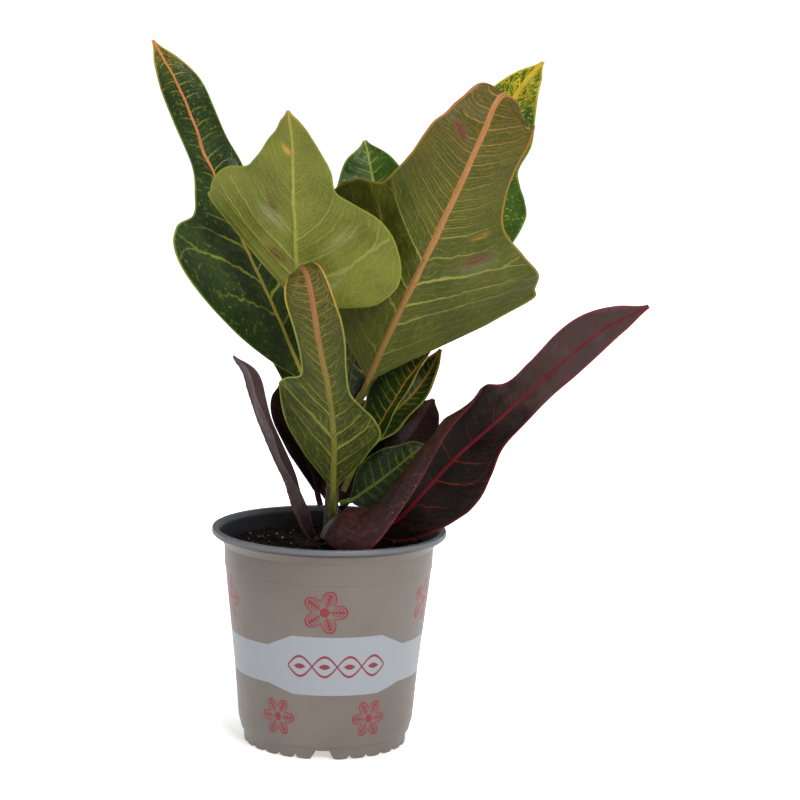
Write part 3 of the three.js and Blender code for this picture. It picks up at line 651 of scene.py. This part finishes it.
growLeaf(dict(
    node="leaf_front_right", looks=(oliveTop, bronzeUnder), slot="leaf_olive", seed=31, rows=220,
    cells=46, joint=(150, 310), petiole=0.18, face=110, twist=[0, 0, 0, 0, -12], wave=2, arch=0.05,
    spine=[(14, -10, 178), (29, -19, 216), (45, -29, 252), (59, -35, 285), (71, -38, 314), (76,
        -36, 327), (81, -29, 334), (87, -18, 331), (92, -8, 319)], left=dict(width=[20, 56, 71, 62,
        44, 36, 31, 28, 24, 16, 9, 1], sweep=[20, 30, 35, 27, 5, -24, -34], fold=[50, 40, 15, 12,
        30], veins=[20, 75, 200, 270, 360, 425, 445, 465, 495, 530, 560, 595, 635, 665, 700, 750,
        785, 830, 870, 910, 950], veinWidth=[0.8, 0.9, 1.1, 1.5, 1.7, 1.0, 0.9]),
    right=dict(width=[56, 80, 74, 67, 51, 34, 28, 26, 26, 23, 15, 1], sweep=[40, 31, 23, 17, 14, 8,
        -15], fold=[5], veins=[20, 75, 170, 225, 295, 365, 430, 455, 480, 505, 535, 570, 600, 635,
        660, 690, 735, 775, 810, 850, 890, 930, 970], veinWidth=[0.8, 0.9, 1.3, 1.5, 2.2, 1.3, 1.0,
        0.9])))
growLeaf(dict(
    node="leaf_low_front", looks=(oliveTop, lowUnder), slot="leaf_olive", seed=41, rows=170,
    cells=30, joint=(116, 280), petiole=0.13, face=90, wave=1, spine=[(2, -13, 124), (2, -19, 142),
        (2, -26, 161), (-1, -36, 187), (-6, -44, 212), (-9, -49, 231), (-12, -49, 244), (-15, -43,
        248), (-17, -36, 245), (-17, -31, 239)], left=dict(width=[12, 38, 42, 34, 20, 16, 15, 15,
        14, 12, 8, 1], sweep=[42, 50, 48, 40, 5, -5], fold=[14, 5], veins=[30, 130, 210, 300, 340,
        380, 420, 460, 500, 530, 560, 600, 630, 670, 710, 740, 770, 800, 840, 880, 930],
        veinWidth=[0.9, 1.4, 1.9, 1.6, 1.0, 0.9]), right=dict(width=[14, 27, 24, 17, 11, 11, 13,
        13, 11, 9, 6, 1], sweep=[36, 25, 12, 10, 0, -5], fold=[10, 5], veins=[30, 100, 165, 225,
        295, 350, 385, 420, 455, 490, 525, 555, 585, 610, 645, 690, 735, 780, 820, 870, 920],
        veinWidth=[0.9, 1.1, 2.2, 1.5, 1.1, 0.9])))
growLeaf(dict(
    node="leaf_back_right", looks=(goldTop, greenUnder), seed=51, rows=170, cells=36, joint=(160,
        40), petiole=0.2, face=230, veinGap=6.5, spine=[(22, 14, 192), (36, 22, 228), (53, 30,
        265), (78, 40, 309), (92, 46, 334), (104, 50, 349)], sweep=[30, 35, 35, 35, 35], fold=[15,
        8], left=dict(width=[2, 40, 66, 70, 61, 48, 36, 33, 26, 19, 11, 1]), right=dict(width=[2,
        20, 36, 46, 44, 32, 24, 24, 24, 17, 9, 1])))
growLeaf(dict(
    node="leaf_back_centre", looks=(freshTop, greenUnder), seed=61, rows=110, cells=24, joint=(164,
        80), petiole=0.3, face=270, veinGap=7, spine=[(11, 14, 206), (18, 20, 242), (20, 26, 272),
        (16, 31, 295), (13, 32, 307)], sweep=[30, 20, 15, 30], fold=[15, 8], left=dict(width=[8,
        26, 30, 27, 24, 19, 12, 1]), right=dict(width=[8, 26, 30, 27, 26, 21, 14, 1])))
growLeaf(dict(
    node="leaf_inner_right", looks=(innerTop, greenUnder), seed=71, rows=90, cells=18, joint=(130,
        350), petiole=0.1, face=215, veinGap=5.5, spine=[(16, -1, 151), (26, 0, 167), (36, 2, 184),
        (45, 4, 197), (51, 6, 206)], sweep=[20], fold=[25], left=dict(width=[2, 10, 15, 15, 9, 8,
        5, 1]), right=dict(width=[2, 8, 13, 17, 16, 13, 8, 1])))
growLeaf(dict(
    node="leaf_long_right", looks=(maroonTop, maroonUnder), slot="leaf_maroon", seed=81, rows=200,
    cells=40, joint=(113, 300), petiole=0.05, face=270, wave=2, arch=0.06, spine=[(9, -8, 115),
        (20, -14, 116), (33, -19, 118), (47, -24, 134), (63, -26, 153), (82, -26, 171), (109, -26,
        197), (133, -24, 218), (157, -20, 231)], left=dict(width=[2, 9, 22, 25, 20, 12.5, 11, 10,
        10, 9, 6, 1], sweep=[20], fold=[5], veins=[50, 130, 200, 285, 360, 450, 520, 580, 640, 700,
        750, 800, 850, 900, 950], veinWidth=[0.7, 0.8, 1.0, 2.0, 1.3, 0.8, 0.7]),
    right=dict(width=[24, 48, 45, 43, 43, 35, 15, 13, 14, 13, 8, 1], sweep=[-30, 0, 20, 30, 20,
        20], curl=[165, 172, 162, 146, 124, 96, 20, 0, 0, 0, 0, 0], veins=[50, 120, 200, 280, 350,
        420, 500, 560, 610, 660, 710, 760, 800, 840, 880, 920, 960], veinWidth=[0.7])))
growLeaf(dict(
    node="leaf_thin_left", looks=(plumTop, plumUnder), slot="leaf_maroon", seed=91, rows=110,
    cells=16, joint=(108, 260), petiole=0.16, face=345, twist=[30, 0, 0], wave=1, veinGap=6,
    spine=[(0, -14, 108), (-9, -25, 110), (-16, -31, 124), (-21, -31, 139), (-29, -30, 155), (-38,
        -28, 176), (-44, -26, 193), (-49, -25, 201)], width=[5, 9, 8, 7, 8, 9, 8, 1], sweep=[30],
    fold=[50]))
growLeaf(dict(
    node="leaf_dark_left", looks=(purpleTop, purpleUnder), slot="leaf_purple", seed=101, rows=70,
    cells=14, joint=(122, 195), petiole=0.1, face=300, wave=1, veinGap=5, spine=[(-9, 2, 136),
        (-15, 3, 150), (-22, 4, 168), (-26.5, 4, 184)], sweep=[30], fold=[10], left=dict(width=[4,
        10, 11, 10, 9, 8, 6, 1]), right=dict(width=[2, 6, 8, 10, 12, 11, 8, 1])))
growLeaf(dict(
    node="leaf_mid_right", looks=(innerTop, greenUnder), seed=111, rows=80, cells=16, joint=(138,
        45), petiole=0.1, face=230, veinGap=5.5, spine=[(16, 13, 154), (27, 18, 164), (40, 23,
        176), (49, 27, 188), (55, 31, 200)], sweep=[25], fold=[20], left=dict(width=[2, 10, 13, 12,
        10, 8, 5, 1]), right=dict(width=[2, 10, 13, 13, 12, 10, 6, 1])))
growLeaf(dict(
    node="leaf_low_centre", looks=(shadeTop, greenUnder), seed=121, rows=70, cells=20, joint=(124,
        330), petiole=0.1, face=230, wave=1, veinGap=5.5, spine=[(12, -6, 127), (21, -9, 134), (32,
        -11, 143), (42, -11, 152), (49, -9, 156)], sweep=[20], fold=[15], left=dict(width=[2, 14,
        18, 18, 16, 12, 8, 1]), right=dict(width=[2, 10, 14, 14, 12, 9, 6, 1])))
growLeaf(dict(
    node="leaf_dark_right", looks=(purpleTop, purpleUnder), slot="leaf_purple", seed=131, rows=80,
    cells=18, joint=(120, 30), petiole=0.1, face=240, veinGap=5.5, spine=[(14, 12, 128), (25, 21,
        138), (39, 29, 153), (47, 34, 165), (52, 37, 173)], sweep=[25], fold=[12],
    left=dict(width=[2, 13, 18, 20, 18, 14, 9, 1]),
    right=dict(width=[2, 12, 16, 16, 14, 12, 8, 1])))
growLeaf(dict(
    node="leaf_rear_left", looks=(greenTop, greenUnder), seed=141, rows=110, cells=24, joint=(142,
        120), petiole=0.2, face=310, wave=2, veinGap=7, spine=[(-12, 18, 160), (-22, 32, 186),
        (-30, 46, 215), (-36, 58, 240), (-38, 66, 256)], sweep=[30], fold=[12], left=dict(width=[2,
        20, 24, 20, 16, 14, 9, 1]), right=dict(width=[2, 12, 20, 22, 18, 16, 10, 1])))
growLeaf(dict(
    node="leaf_rear_right", looks=(greenTop, greenUnder), seed=151, rows=110, cells=28, joint=(146,
        80), petiole=0.2, face=240, wave=2, veinGap=7, spine=[(10, 26, 168), (18, 44, 194), (28,
        60, 222), (34, 74, 246), (38, 86, 262)], width=[2, 24, 32, 28, 20, 17, 11, 1], sweep=[30],
    fold=[12]))
growLeaf(dict(
    node="leaf_rear_low", looks=(maroonTop, maroonUnder), slot="leaf_maroon", seed=161, rows=90,
    cells=22, joint=(118, 95), petiole=0.08, face=270, wave=2, veinGap=7, spine=[(0, 18, 122), (4,
        36, 132), (10, 54, 146), (15, 70, 158), (18, 84, 164)], width=[10, 22, 26, 22, 18, 14, 9,
        1], sweep=[30], fold=[12]))
# a small young leaf at the stem's tip, too thin for a solid of its own
growLeaf(dict(
    node="young_tip", looks=(youngTop, youngTop), seed=171, rows=60, cells=10, joint=(167, 345),
    petiole=0.12, face=200, wave=0.4, veinGap=4, spine=[(12, 0, 180), (19, -1, 190), (24, -1, 200),
        (27, 0, 207)], stands=False, width=[2, 4, 5, 5, 4, 3, 2, 1], sweep=[25], fold=[40]))

# the pot: thin moulded plastic, printed outside, bare on its lip and inside
pot = dict(
    height=111, lipRadius=60, lipHeight=2.6, lipRound=0.9, lipRim=3.2, flare=4,
    wallTop=53.8, upperRing=102.8, lowerRingRadius=53, lowerRing=91.8, ringStep=0.45,
    wall=[(43.3, 6.8), (44.9, 13), (47.2, 40), (50, 65), (51.9, 82)],
    thickness=1.3, footRadius=41.8, footHeight=6.4, footWidth=2.2,
    floorTop=9.2, floorUnder=7.6, padRadius=12,
    footUnits=28, unitSteps=8, scallopsPerSet=6, scallopGap=2.2, scallopPower=5,
    notchHeight=4.5, footTurn=2.5 * math.pi, footFrom=30, footFade=6,
    drainHoles=8, drainRadius=3.2, drainCircle=27, drainSides=32, drainDepth=12,
    ticks=24, tickAngle=1.7, tickSize=(0.9, 0.9, 4.6), tickLean=40, tickOut=2.1, tickUp=2.2,
    sharpAngle=35,
)


def potProfile():
    p = Named(**pot)
    foot, footIn, ring, flare = p.footRadius, p.footRadius - p.footWidth, p.ringStep / 2, p.flare
    lip, lipLow, lipIn, w = p.lipRadius, p.height - p.lipHeight, p.lipRadius - p.lipRim, p.thickness
    lower, upper, lowerRing, upperRing = p.lowerRingRadius, p.wallTop, p.lowerRing, p.upperRing
    under = [(0, 0.0), (p.padRadius - 0.4, 0.0), (p.padRadius, 0.4),
             (p.padRadius + 0.8, p.floorUnder), (footIn, p.floorUnder),
             (footIn + 0.6, 0.3), (footIn + 0.8, 0.0)]
    outside = [(foot - 0.3, 0.0), (foot, 0.3), (foot + 0.4, p.footHeight - 0.6),
               (foot + 0.9, p.footHeight + 0.1), *p.wall,
               (lower - ring, lowerRing - 1.0), (lower - ring, lowerRing - 0.45),
               (lower + ring, lowerRing), (upper - ring, upperRing - 0.9),
               (upper - ring, upperRing - 0.45), (upper + ring, upperRing),
               (upper + 1.4, upperRing + flare / 2), (upper + 3.4, upperRing + flare),
               (lip - 1.6, lipLow - 1.4)]
    top = [(lip - 0.5, lipLow - 0.5), (lip, lipLow), (lip, p.height - p.lipRound),
           (lip - 0.3, p.height - 0.25), (lip - p.lipRound, p.height),
           (lipIn + p.lipRound, p.height), (lipIn + 0.3, p.height - 0.3)]
    inside = [(lipIn, p.height - p.lipRound), (upper + 1.8, upperRing + flare),
              (upper - w, upperRing), (lower - w, lowerRing)]
    inside += [(radius - w, height) for radius, height in reversed(p.wall[1:])]
    inside += [(p.wall[0][0] - w, p.floorTop), (0, p.floorTop)]
    return under, outside, top + inside


def footRise(angle):
    # how far the foot ring's underside is lifted: rounded scallops in sets, notches between
    unitTurn = 2 * math.pi / pot["footUnits"]
    turn = ((angle + pot["footTurn"]) / unitTurn + 0.5) % (pot["scallopsPerSet"] + 1)
    if turn < 1:
        return pot["notchHeight"]
    return pot["scallopGap"] * abs(2 * (turn % 1) - 1) ** pot["scallopPower"]


def makePot():
    print("pot")
    p = Named(**pot)
    under, outside, rest = potProfile()
    bm, printed = turnedBmesh(under + outside + rest, p.footUnits * p.unitSteps, "printed",
                              range(len(under), len(under) + len(outside)))
    for v in bm.verts:
        if math.hypot(v.co.x, v.co.y) > p.footFrom and v.co.z < p.footFade:
            v.co.z += footRise(math.atan2(v.co.y, v.co.x)) * (1 - v.co.z / p.footFade)
    for number in range(p.ticks):
        # slanted strokes of print round the flare
        angle = math.radians(360 * number / p.ticks + p.tickAngle - 90)
        tick = bmesh.ops.create_cube(bm, size=1)["verts"]
        bmesh.ops.scale(bm, vec=p.tickSize, verts=tick)
        bmesh.ops.rotate(bm, matrix=Matrix.Rotation(math.radians(p.tickLean), 3, "Y"), verts=tick)
        bmesh.ops.translate(bm, vec=(p.wallTop + p.tickOut, 0, p.upperRing + p.tickUp), verts=tick)
        bmesh.ops.rotate(bm, matrix=Matrix.Rotation(angle, 3, "Z"), verts=tick)
        for v in tick:
            v[printed] = 1.0
    mesh = toMesh(bm, "pot", p.sharpAngle)
    cutters = bmesh.new()
    for number in range(p.drainHoles):
        angle = 2 * math.pi * (number + 0.5) / p.drainHoles
        place = (p.drainCircle * math.cos(angle), p.drainCircle * math.sin(angle), p.floorTop)
        bmesh.ops.create_cone(cutters, cap_ends=True, segments=p.drainSides, radius1=p.drainRadius,
                              radius2=p.drainRadius, depth=p.drainDepth,
                              matrix=Matrix.Translation(place))
    cutter = addObject("drainCutter", toMesh(cutters, "drainCutter"))
    blank = addObject("potBlank", mesh)
    cut = blank.modifiers.new("drains", "BOOLEAN")
    cut.operation, cut.object, cut.solver = "DIFFERENCE", cutter, "EXACT"
    finished = bpy.data.meshes.new_from_object(
        blank.evaluated_get(bpy.context.evaluated_depsgraph_get()))
    finished.name = "potShell"
    bpy.data.objects.remove(blank)
    bpy.data.objects.remove(cutter)
    addPiece("pot_shell", finished, [potFinish()], "pot", "pot")


potPrint = dict(
    # inside is painted shade: the bare inner wall turns near black below the lip
    taupe="736a61", taupeShade="695f57", bare="686a6e", inside="1a1c20", white="94999f",
    ink="821e2c", dust="605448", dirt="5c5046", innerFrom=107.5, innerTo=109.5, floorBelow=9.0,
    bandLow=38.5, bandHigh=58.5, plaqueLow=34.5, plaqueHigh=65.0, plaqueAt=8.0,
    plaqueFlat=27.0, plaqueEnd=43.5, soft=0.12, printRadius=50.0, line=0.75,
    rows=[dict(height=78, count=5, size=11.0, turn=0.0, petals=2.5),
          dict(height=21.5, count=6, size=9.6, turn=30.0, petals=3.0)],
    braid=dict(height=49.5, rise=5.2, turn=30.0, start=-22.0, end=38.0, line=0.9),
)


def potFinish():
    f, look = Finish("pottedPlastic"), Named(**potPrint)
    place = f.objectPlace()
    x, y, z = f.parts(place)
    printed = f.attribute("printed", "Fac") > 0.5
    angle = x.math("ARCTAN2", y * -1.0) * (180 / math.pi)
    slow = f.noise(place, 0.02)
    haze = f.noise(place, 0.25, 3, 0.6)
    grain = f.noise(place, 2.5, 2, 0.6)
    streak = f.noise(f.vector(angle * 0.25, z * 0.004), 1.0, 3, 0.6)
    taupe = f.mix(f.rise(slow, 0.3, 0.7), look.taupe, look.taupeShade)
    taupe = f.mix(f.rise(haze, 0.4, 0.8) * 0.15, taupe, look.bare)

    # the band, wider at the plaque in front
    widening = f.node("ShaderNodeMapRange", {}, {
        0: abs(angle - look.plaqueAt), 1: look.plaqueFlat, 2: look.plaqueEnd, 3: 1.0, 4: 0.0})
    low = look.bandLow + widening * (look.plaqueLow - look.bandLow)
    high = look.bandHigh + widening * (look.plaqueHigh - look.bandHigh)
    band = f.rise(z - low, -look.soft, look.soft) * f.rise(high - z, -look.soft, look.soft)
    ink = 0.0
    for row in look.rows:
        # a row of rosettes: an outline with petals, a core, a line and rings in each petal
        size, pitch = row["size"], 360 / row["count"]
        turned = (angle - row["turn"]) / pitch
        off = (turned - turned.math("ROUND")) * (pitch * math.pi / 180) * look.printRadius
        up = z - row["height"]
        reach = (off * off + up * up).math("SQRT")
        wave = abs((up.math("ARCTAN2", off) * row["petals"]).math("COSINE"))
        petal = size * (0.52 + 0.48 * wave)
        outline = f.near(abs(reach - petal), look.line)
        core = f.fall(reach, size * 0.2, size * 0.24)
        vein = f.rise(wave, 0.965, 0.985) * (reach > size * 0.2) * (reach < petal * 0.9)
        hatch = ((reach - petal) * 0.62).fract()
        rings = f.rise(abs(hatch - 0.5), 0.22, 0.34) * (reach < petal) * (
            reach > size * 0.34) * f.rise(wave, 0.3, 0.6)
        ink = (outline | core | vein | rings) | ink
    # a braid of two strands with a bead in each eye
    braid = Named(**look.braid)
    swing = ((angle - look.plaqueAt) * (2 * math.pi / braid.turn)).math("SINE") * braid.rise
    up = abs(z - braid.height)
    strands = f.near(abs(up - abs(swing)), braid.line)
    strands = strands | f.fall(up + (braid.rise - abs(swing)), 1.2, 1.6)
    ink = ink * (1.0 - band) | strands * (angle > braid.start) * (angle < braid.end)
    ink = ink * f.rise(grain, 0.2, 0.4, 0.8, 1.0)
    colour = f.mix(ink, f.mix(band, taupe, look.white), look.ink)

    # below the lip the bare inside turns near black: painted shade in the pot's mouth
    bare = f.mix(f.fall(z, look.innerFrom, look.innerTo), look.bare, look.inside)
    bare = f.mix(z < look.floorBelow, bare, look.taupeShade)
    bare = f.mix(f.rise(haze, 0.55, 0.75) * 0.25, bare, look.dust)
    colour = f.mix(printed, bare, colour)
    # darker towards the foot of the pot, in specks
    dirt = f.fall(z + haze * 8, 6, 12) * f.rise(grain, 0.45, 0.7)
    colour = f.mix(dirt * 0.3, colour, look.dirt)
    relief = haze * 0.3 + grain * 0.1 + streak * 0.5 + ink * 0.06
    return f.close(colour, 0.44 + (haze - 0.5) * 0.2 + (grain - 0.5) * 0.1, relief, 0.35)


makePot()

# the soil: a mound of dark crumbs with pale grit and bits of bark on it
soil = dict(
    top=102, mound=1.5, bumps=0.9, bumpSize=7, edge=51.7, wallGap=1.8, hole=5.3, holeDepth=45,
    rings=46, steps=150, crumbs=950, grit=90, chips=60, crumbEdge=50.4, seed=7, sharpAngle=80,
    dark="0b0806", brown="221914", chip="3e2d20", pale="aa9e88",
)


def soilHeight(x, y):
    reach = min(1, math.hypot(x, y) / soil["edge"])
    rough = noise.fractal(Vector((x, y, 3.0)) / soil["bumpSize"], 0.9, 2.1, 4)
    return soil["top"] + soil["mound"] * (1 - reach**2) + soil["bumps"] * rough - clearance


def makeSoil():
    print("soil")
    chance = random.Random(soil["seed"])
    s, floor = Named(**soil), pot["floorTop"] + clearance
    profile = [(0, floor), (pot["wall"][0][0] - s.wallGap - 0.6, floor)]
    profile += [(radius - s.wallGap, height) for radius, height in pot["wall"][1:]]
    profile += [(pot["lowerRingRadius"] - s.wallGap, pot["lowerRing"])]
    profile += [(s.edge + (s.hole - s.edge) * ring / s.rings, s.top) for ring in range(s.rings + 1)]
    profile += [(s.hole, s.top - s.holeDepth), (0, s.top - s.holeDepth)]
    bm, kind = turnedBmesh(profile, s.steps, "kind")
    for v in bm.verts:
        if v.co.z > s.top - 0.01:
            v.co.z = soilHeight(v.co.x, v.co.y)
    for number in range(s.crumbs + s.grit + s.chips):
        grit = number < s.grit
        chip = number >= s.crumbs + s.grit
        angle, reach = chance.uniform(0, 2 * math.pi), (0.012 + 0.95 * chance.random()) ** 0.5
        x, y = s.crumbEdge * reach * math.cos(angle), s.crumbEdge * reach * math.sin(angle)
        size = chance.uniform(0.35, 0.85) if grit else chance.uniform(0.5, 1.5)
        stretch = (size * 3.2, size * 0.7, size * 0.45) if chip else (
            size, size * chance.uniform(0.6, 1), size * chance.uniform(0.5, 0.9))
        lay = Matrix.Translation((x, y, soilHeight(x, y) + size * 0.2))
        lay = lay @ Matrix.Rotation(chance.uniform(0, math.pi), 4, "Z")
        lay = lay @ Matrix.Rotation(chance.uniform(-0.4, 0.4), 4, "X")
        lay = lay @ Matrix.Diagonal((*stretch, 1))
        for v in bmesh.ops.create_icosphere(bm, subdivisions=1, radius=1, matrix=lay)["verts"]:
            v[kind] = 1.0 if grit else 0.5 if chip else 0.0
    addPiece("soil_bed", toMesh(bm, "soil", s.sharpAngle), [soilFinish()], "soil", "soil")


def soilFinish():
    f = Finish("pottingSoil")
    place = f.objectPlace()
    kind = f.attribute("kind", "Fac")
    fine = f.noise(place, 2.2, 3, 0.7)
    height = f.noise(place, 0.35, 4, 0.7) * 0.5 + fine * 0.5
    colour = f.mix(f.rise(height, 0.4, 0.65), soil["dark"], soil["brown"])
    colour = f.mix(kind > 0.4, colour, f.mix(fine, soil["brown"], soil["chip"]))
    colour = f.mix(kind > 0.9, colour, f.mix(fine * 0.6, soil["pale"], soil["chip"]))
    return f.close(colour, 0.82 + fine * 0.15, height, 1.2, Specular_IOR_Level=0.15)


makeSoil()


# the stem: a short woody trunk with leaf scars, closed at its tip
def makeStem():
    print("stem")
    bm = bmesh.new()
    s, low, high = Named(**stem), stem["path"][0][2], stem["path"][-1][2]
    ring = bmesh.ops.create_circle(bm, cap_ends=False, segments=s.sides, radius=1)["verts"]
    edges = bottom = list({edge for v in ring for edge in v.link_edges})
    for row in range(s.rows + 1):
        climb = row / s.rows
        height = low + (high - low) * row / s.rows
        x, y, radius = stemAt(height)
        scar = max(0, math.cos(height / s.scarPitch * 2 * math.pi)) ** 6 * (height > soil["top"])
        past = max(0, (climb - s.roundFrom) / (1 - s.roundFrom))
        close = max(s.tipClose, math.sqrt(max(0, 1 - past**2)))
        for number, v in enumerate(ring):
            turn = 2 * math.pi * number / s.sides
            rough = noise.noise(Vector((math.cos(turn) * 2, math.sin(turn) * 2, height * 0.35)))
            size = (radius - s.bark + scar * s.scar + s.bark * rough) * close
            v.co = (x + size * math.cos(turn), y + size * math.sin(turn), height)
        if row < s.rows:
            made = bmesh.ops.extrude_edge_only(bm, edges=edges)["geom"]
            edges = [g for g in made if isinstance(g, bmesh.types.BMEdge)]
            ring = sorted({v for edge in edges for v in edge.verts},
                          key=lambda v: math.atan2(v.co.y - y, v.co.x - x) % (2 * math.pi))
    bmesh.ops.contextual_create(bm, geom=edges)
    bmesh.ops.contextual_create(bm, geom=bottom)
    bmesh.ops.recalc_face_normals(bm, faces=bm.faces)
    addPiece("stem_bark", toMesh(bm, "stem", 60), [barkFinish()], "bark", "stem")


bark = dict(low="4a402c", high="586030", scar="32281e", pale="787052", greenFrom=112, greenTo=160)


def barkFinish():
    f = Finish("stemBark")
    place = f.objectPlace()
    x, y, z = f.parts(place)
    fine = f.noise(place, 0.9, 4, 0.7)
    fibre = f.noise(f.vector(x * 1.6, y * 1.6, z * 0.25), 0.9, 3, 0.6)
    colour = f.mix(f.rise(z, bark["greenFrom"], bark["greenTo"]), bark["low"], bark["high"])
    colour = f.mix(f.rise(fibre, 0.4, 0.7) * 0.5, colour, bark["scar"])
    colour = f.mix(f.rise(fine, 0.6, 0.7) * 0.5, colour, bark["pale"])
    return f.close(colour, 0.72 + (fine - 0.5) * 0.2, fibre * 0.6 + fine * 0.4, 0.6)


makeStem()

# the floor, the light and the camera, in metres; heights in the sky are its own, -1 to 1
stage = dict(size=40000, colour="f5f5f5", glowNear="969696", glowFar="ffffff", glowFrom=-0.4,
             glowTo=0.6)
lamps = [
    dict(name="frontSoft", at=(0.9, -2.0, 1.7), size=0.9, power=46),
    dict(name="leftSoft", at=(-2.0, -0.6, 1.2), size=1.0, power=5),
    dict(name="topSoft", at=(0.1, 0.3, 2.4), size=1.2, power=28),
]
lampAim = Vector((0.03, 0, 0.18))
sky = dict(low=0.03, high=0.1, below=1.05, above=0.15)
view = dict(aim=(0.0345, 0, 0.1777), away=1.3, pitch=8.5, roll=1.48, lens=115.0, sensor=36,
            nearest=0.05, farthest=200)


def makeStage():
    print("stage")
    bm = bmesh.new()
    bmesh.ops.create_grid(bm, x_segments=1, y_segments=1, size=stage["size"])
    floor = addObject("floor", toMesh(bm, "floor"))
    f = Finish("paleFloor")
    place = f.node("ShaderNodeTexCoord", out="Object")
    glow = f.mix(f.rise(f.parts(place)[1], stage["glowFrom"], stage["glowTo"]),
                 stage["glowNear"], stage["glowFar"])
    shader = f.node("ShaderNodeBsdfPrincipled", {}, {
        "Base Color": stage["colour"], "Roughness": 0.7, "Emission Color": glow,
        "Emission Strength": 1.0})
    f.node("ShaderNodeOutputMaterial", {}, {0: shader})
    floor.data.materials.append(f.material)


def makeLamps():
    for lamp in lamps:
        light = bpy.data.lights.new(lamp["name"], "AREA")
        light.size, light.energy = lamp["size"], lamp["power"]
        made = addObject(lamp["name"], light)
        made.location = lamp["at"]
        made.rotation_euler = (lampAim - Vector(lamp["at"])).to_track_quat("-Z", "Y").to_euler()
    world = bpy.data.worlds.new("studio")
    bpy.context.scene.world = world
    world.use_nodes = True
    nodes, links = world.node_tree.nodes, world.node_tree.links
    nodes["Background"].inputs[0].default_value = (1, 1, 1, 1)
    way, parts = nodes.new("ShaderNodeTexCoord"), nodes.new("ShaderNodeSeparateXYZ")
    fade = nodes.new("ShaderNodeMapRange")
    for index, key in enumerate(("low", "high", "below", "above"), 1):
        fade.inputs[index].default_value = sky[key]
    links.new(way.outputs["Generated"], parts.inputs[0])
    links.new(parts.outputs[2], fade.inputs[0])
    links.new(fade.outputs[0], nodes["Background"].inputs[1])


def makeCamera():
    camera = addObject("camera", bpy.data.cameras.new("camera"))
    camera.data.lens, camera.data.sensor_width = view["lens"], view["sensor"]
    camera.data.clip_start, camera.data.clip_end = view["nearest"], view["farthest"]
    pitch = math.radians(view["pitch"])
    place = Vector(view["aim"]) + view["away"] * Vector((0, -math.cos(pitch), math.sin(pitch)))
    turn = Matrix.Rotation(math.pi / 2 - pitch, 4, "X") @ Matrix.Rotation(
        math.radians(view["roll"]), 4, "Z")
    camera.matrix_world = Matrix.Translation(place) @ turn
    bpy.context.scene.camera = camera


makeStage()
makeLamps()
makeCamera()
bpy.context.scene.view_settings.view_transform = "Standard"
